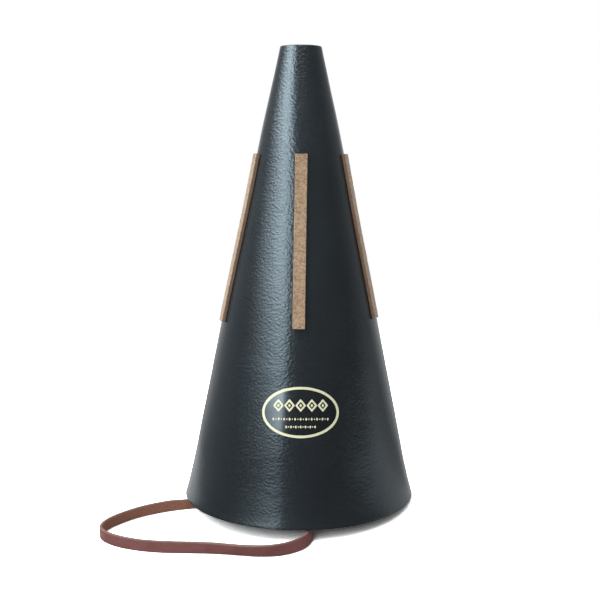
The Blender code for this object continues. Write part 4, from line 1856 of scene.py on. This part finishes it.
@dataclass(frozen=True)
class Studio:
    """The floor, the surroundings and the lamps.

    Attributes:
        floor_size: Side of the floor.
        floor_white: How much light the floor gives back to the camera.
        floor_plain: How much light it gives back to the mute.
        fade_start: Distance from the mute at which the floor starts to turn plain white.
        fade_end: Distance at which it is plain white.
        backdrop: How bright the backdrop behind the mute is as light.
        backdrop_sheen: How bright the sides of the backdrop are in reflections.
        floor_behind: How bright the floor behind the mute is in reflections.
        floor_right: How bright the floor to the right is in reflections.
        floor_near: How bright the floor beside the mute is in grazing reflections.
        near_start: Distance from the mute at which that starts to fall.
        near_end: Distance at which it is gone.
        room: How bright the room before the mute is in reflections from above.
        ambient: How bright the room is as light.
        lamps: The lamps.
    """

    floor_size: float = 8.0
    floor_white: float = 2.65
    floor_plain: float = 0.55
    fade_start: float = 0.30
    fade_end: float = 0.60
    backdrop: float = 1.0
    backdrop_sheen: float = 0.45
    floor_behind: float = 0.55
    floor_right: float = 0.45
    floor_near: float = 0.85
    near_start: float = 0.16
    near_end: float = 0.32
    room: float = 0.14
    ambient: float = 0.28
    lamps: tuple[Lamp, ...] = (
        Lamp(
            "softbox_left",
            azimuth=-64.0,
            elevation=30.0,
            distance=1.3,
            width=2.6,
            height=1.25,
            radiance=22.8,
            colour=(0.93, 0.985, 1.0),
            left=(0.086, 0.773, 0.555),
            right=(1.20, 0.69, 1.546),
            up=(-0.18, 1.998),
        ),
        Lamp("softbox_above", -20.0, 78.0, 1.7, 1.9, 1.9, 1.7),
    )

    def floor(self) -> None:
        """Makes the floor: matt, pale, and plain white to the camera away from the mute."""
        half = 0.5 * self.floor_size
        corners = [(-half, -half, 0.0), (half, -half, 0.0), (half, half, 0.0), (-half, half, 0.0)]
        mesh = bpy.data.meshes.new("floor")
        mesh.from_pydata(corners, [], [(0, 1, 2, 3)])
        made, recipe = new_material("floor_white")
        seen, mirrored = self.rays(recipe)
        place = recipe.solid()
        far = recipe.length(place).rise(self.fade_start, self.fade_end)
        to_camera = recipe.value("ShaderNodeBsdfDiffuse", {}, {"Color": (self.floor_white,) * 3})
        to_mute = recipe.value("ShaderNodeBsdfDiffuse", {}, {"Color": (self.floor_plain,) * 3})
        white = recipe.value("ShaderNodeEmission", {}, {"Color": WHITE, "Strength": 1.0})
        in_mirror = {"Color": WHITE, "Strength": self.floor_sheen(recipe, place)}
        in_mirror = recipe.value("ShaderNodeEmission", {}, in_mirror)
        lit = recipe.mix(mirrored, recipe.mix(seen, to_mute, to_camera), in_mirror)
        below = recipe.value("ShaderNodeNewGeometry", output="Backfacing") * seen
        clear = recipe.value("ShaderNodeBsdfTransparent")
        shader = recipe.mix(below, recipe.mix(seen * far, lit, white), clear)
        recipe.node("ShaderNodeOutputMaterial", {}, {"Surface": shader})
        mesh.materials.append(made)
        floor = bpy.data.objects.new("floor", mesh)
        bpy.context.scene.collection.objects.link(floor)

    def rays(self, recipe: Recipe) -> tuple[Value, Value]:
        """Which kind of ray meets the surface.

        Args:
            recipe: The nodes that use it.

        Returns:
            1 for the camera's rays, and 1 for those of a reflection or through something.
        """
        rays = recipe.node("ShaderNodeLightPath")
        seen, glossy, through = (
            Value(recipe, rays.outputs[f"Is {kind} Ray"]) for kind in ("Camera", "Glossy", "Transmission")
        )
        return seen, glossy + through

    def floor_sheen(self, recipe: Recipe, place: Value) -> Value:
        """How bright reflections find a place on the floor.

        It is the sheen of the place's direction, with more behind the mute and to its right, and more
        close to the mute for reflections that only graze it, most of all on its left.

        Args:
            recipe: The nodes that use it.
            place: The place on the floor.

        Returns:
            The brightness.
        """
        towards = recipe.value("ShaderNodeVectorMath", {"operation": "NORMALIZE"}, {0: place})
        right, behind = recipe.axis(towards, "X"), recipe.axis(towards, "Y")
        sheen = self.sheen(recipe, towards).either(behind.rise(0.30, 0.85) * self.floor_behind)
        sheen = sheen + right.rise(0.55, 0.95) * behind.rise(0.50, 0.0) * self.floor_right
        ray = recipe.value("ShaderNodeNewGeometry", output="Incoming")
        grazing = (recipe.axis(ray, "X") * 0.35 - recipe.axis(ray, "Y")).rise(0.35, 1.0)
        near = recipe.length(place).rise(self.near_end, self.near_start)
        return sheen.either(near * grazing * self.floor_near)

    def sheen(self, recipe: Recipe, towards: Value) -> Value:
        """How bright reflections find a direction: dim before the mute, and white straight behind it.

        Args:
            recipe: The nodes that use it.
            towards: The direction, as a unit vector.

        Returns:
            The brightness.
        """
        behind, height = recipe.axis(towards, "Y"), recipe.axis(towards, "Z")
        sides = behind.rise(-0.30, 1.0) * (self.backdrop_sheen - self.room)
        straight_behind = behind.rise(0.75, 1.0) * (1.0 - self.backdrop_sheen)
        return height.rise(0.0, 0.5) * self.room + sides + straight_behind

    def surroundings(self) -> None:
        """Makes the world: white to the camera, and to the mute a white backdrop behind it in a dim room."""
        world = bpy.data.worlds.new("room")
        world.use_nodes = True
        bpy.context.scene.world = world
        recipe = Recipe(world.node_tree)
        seen, mirrored = self.rays(recipe)
        towards = recipe.value("ShaderNodeTexCoord", output="Generated")
        behind = recipe.axis(towards, "Y")
        light = behind.rise(0.15, 0.60) * (self.backdrop - self.ambient) + self.ambient
        light = light + mirrored * (self.sheen(recipe, towards) - light)
        strength = light + seen * (1.0 - light)
        shader = recipe.value("ShaderNodeBackground", {}, {"Color": WHITE, "Strength": strength})
        recipe.node("ShaderNodeOutputWorld", {}, {"Surface": shader})

    def build(self) -> None:
        """Makes the floor, the surroundings and the lamps."""
        self.floor()
        self.surroundings()
        for lamp in self.lamps:
            lamp.build()
        bpy.context.scene.view_settings.view_transform = "Standard"


def main() -> None:
    """Builds the mute piece by piece, then lights it."""
    logging.basicConfig(level=logging.INFO, format="%(name)s: %(message)s")
    for old in list(bpy.data.objects):
        bpy.data.objects.remove(old)
    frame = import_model()
    stance = Stance.of_record(frame["record"], Cone.rim_radius)
    Camera().build(stance)
    cone = Cone(stance)
    closed_end = ClosedEnd(cone)
    WristStrap(closed_end).build(StrapLeather().material())
    board = PlainBoard().material()
    cut = PlainBoard("cut_board", dark=(0.010, 0.010, 0.010), light=(0.030, 0.028, 0.026)).material()
    cone.build(LacqueredPaper().material(), cut, board)
    CorkStrips(cone).build(Cork().material())
    Label(cone).build(GlossLabel().material(), GoldFoil().material())
    closed_end.build(board, cut, TurnedBrass().material())
    Studio().build()


if __name__ == "__main__":
    main()
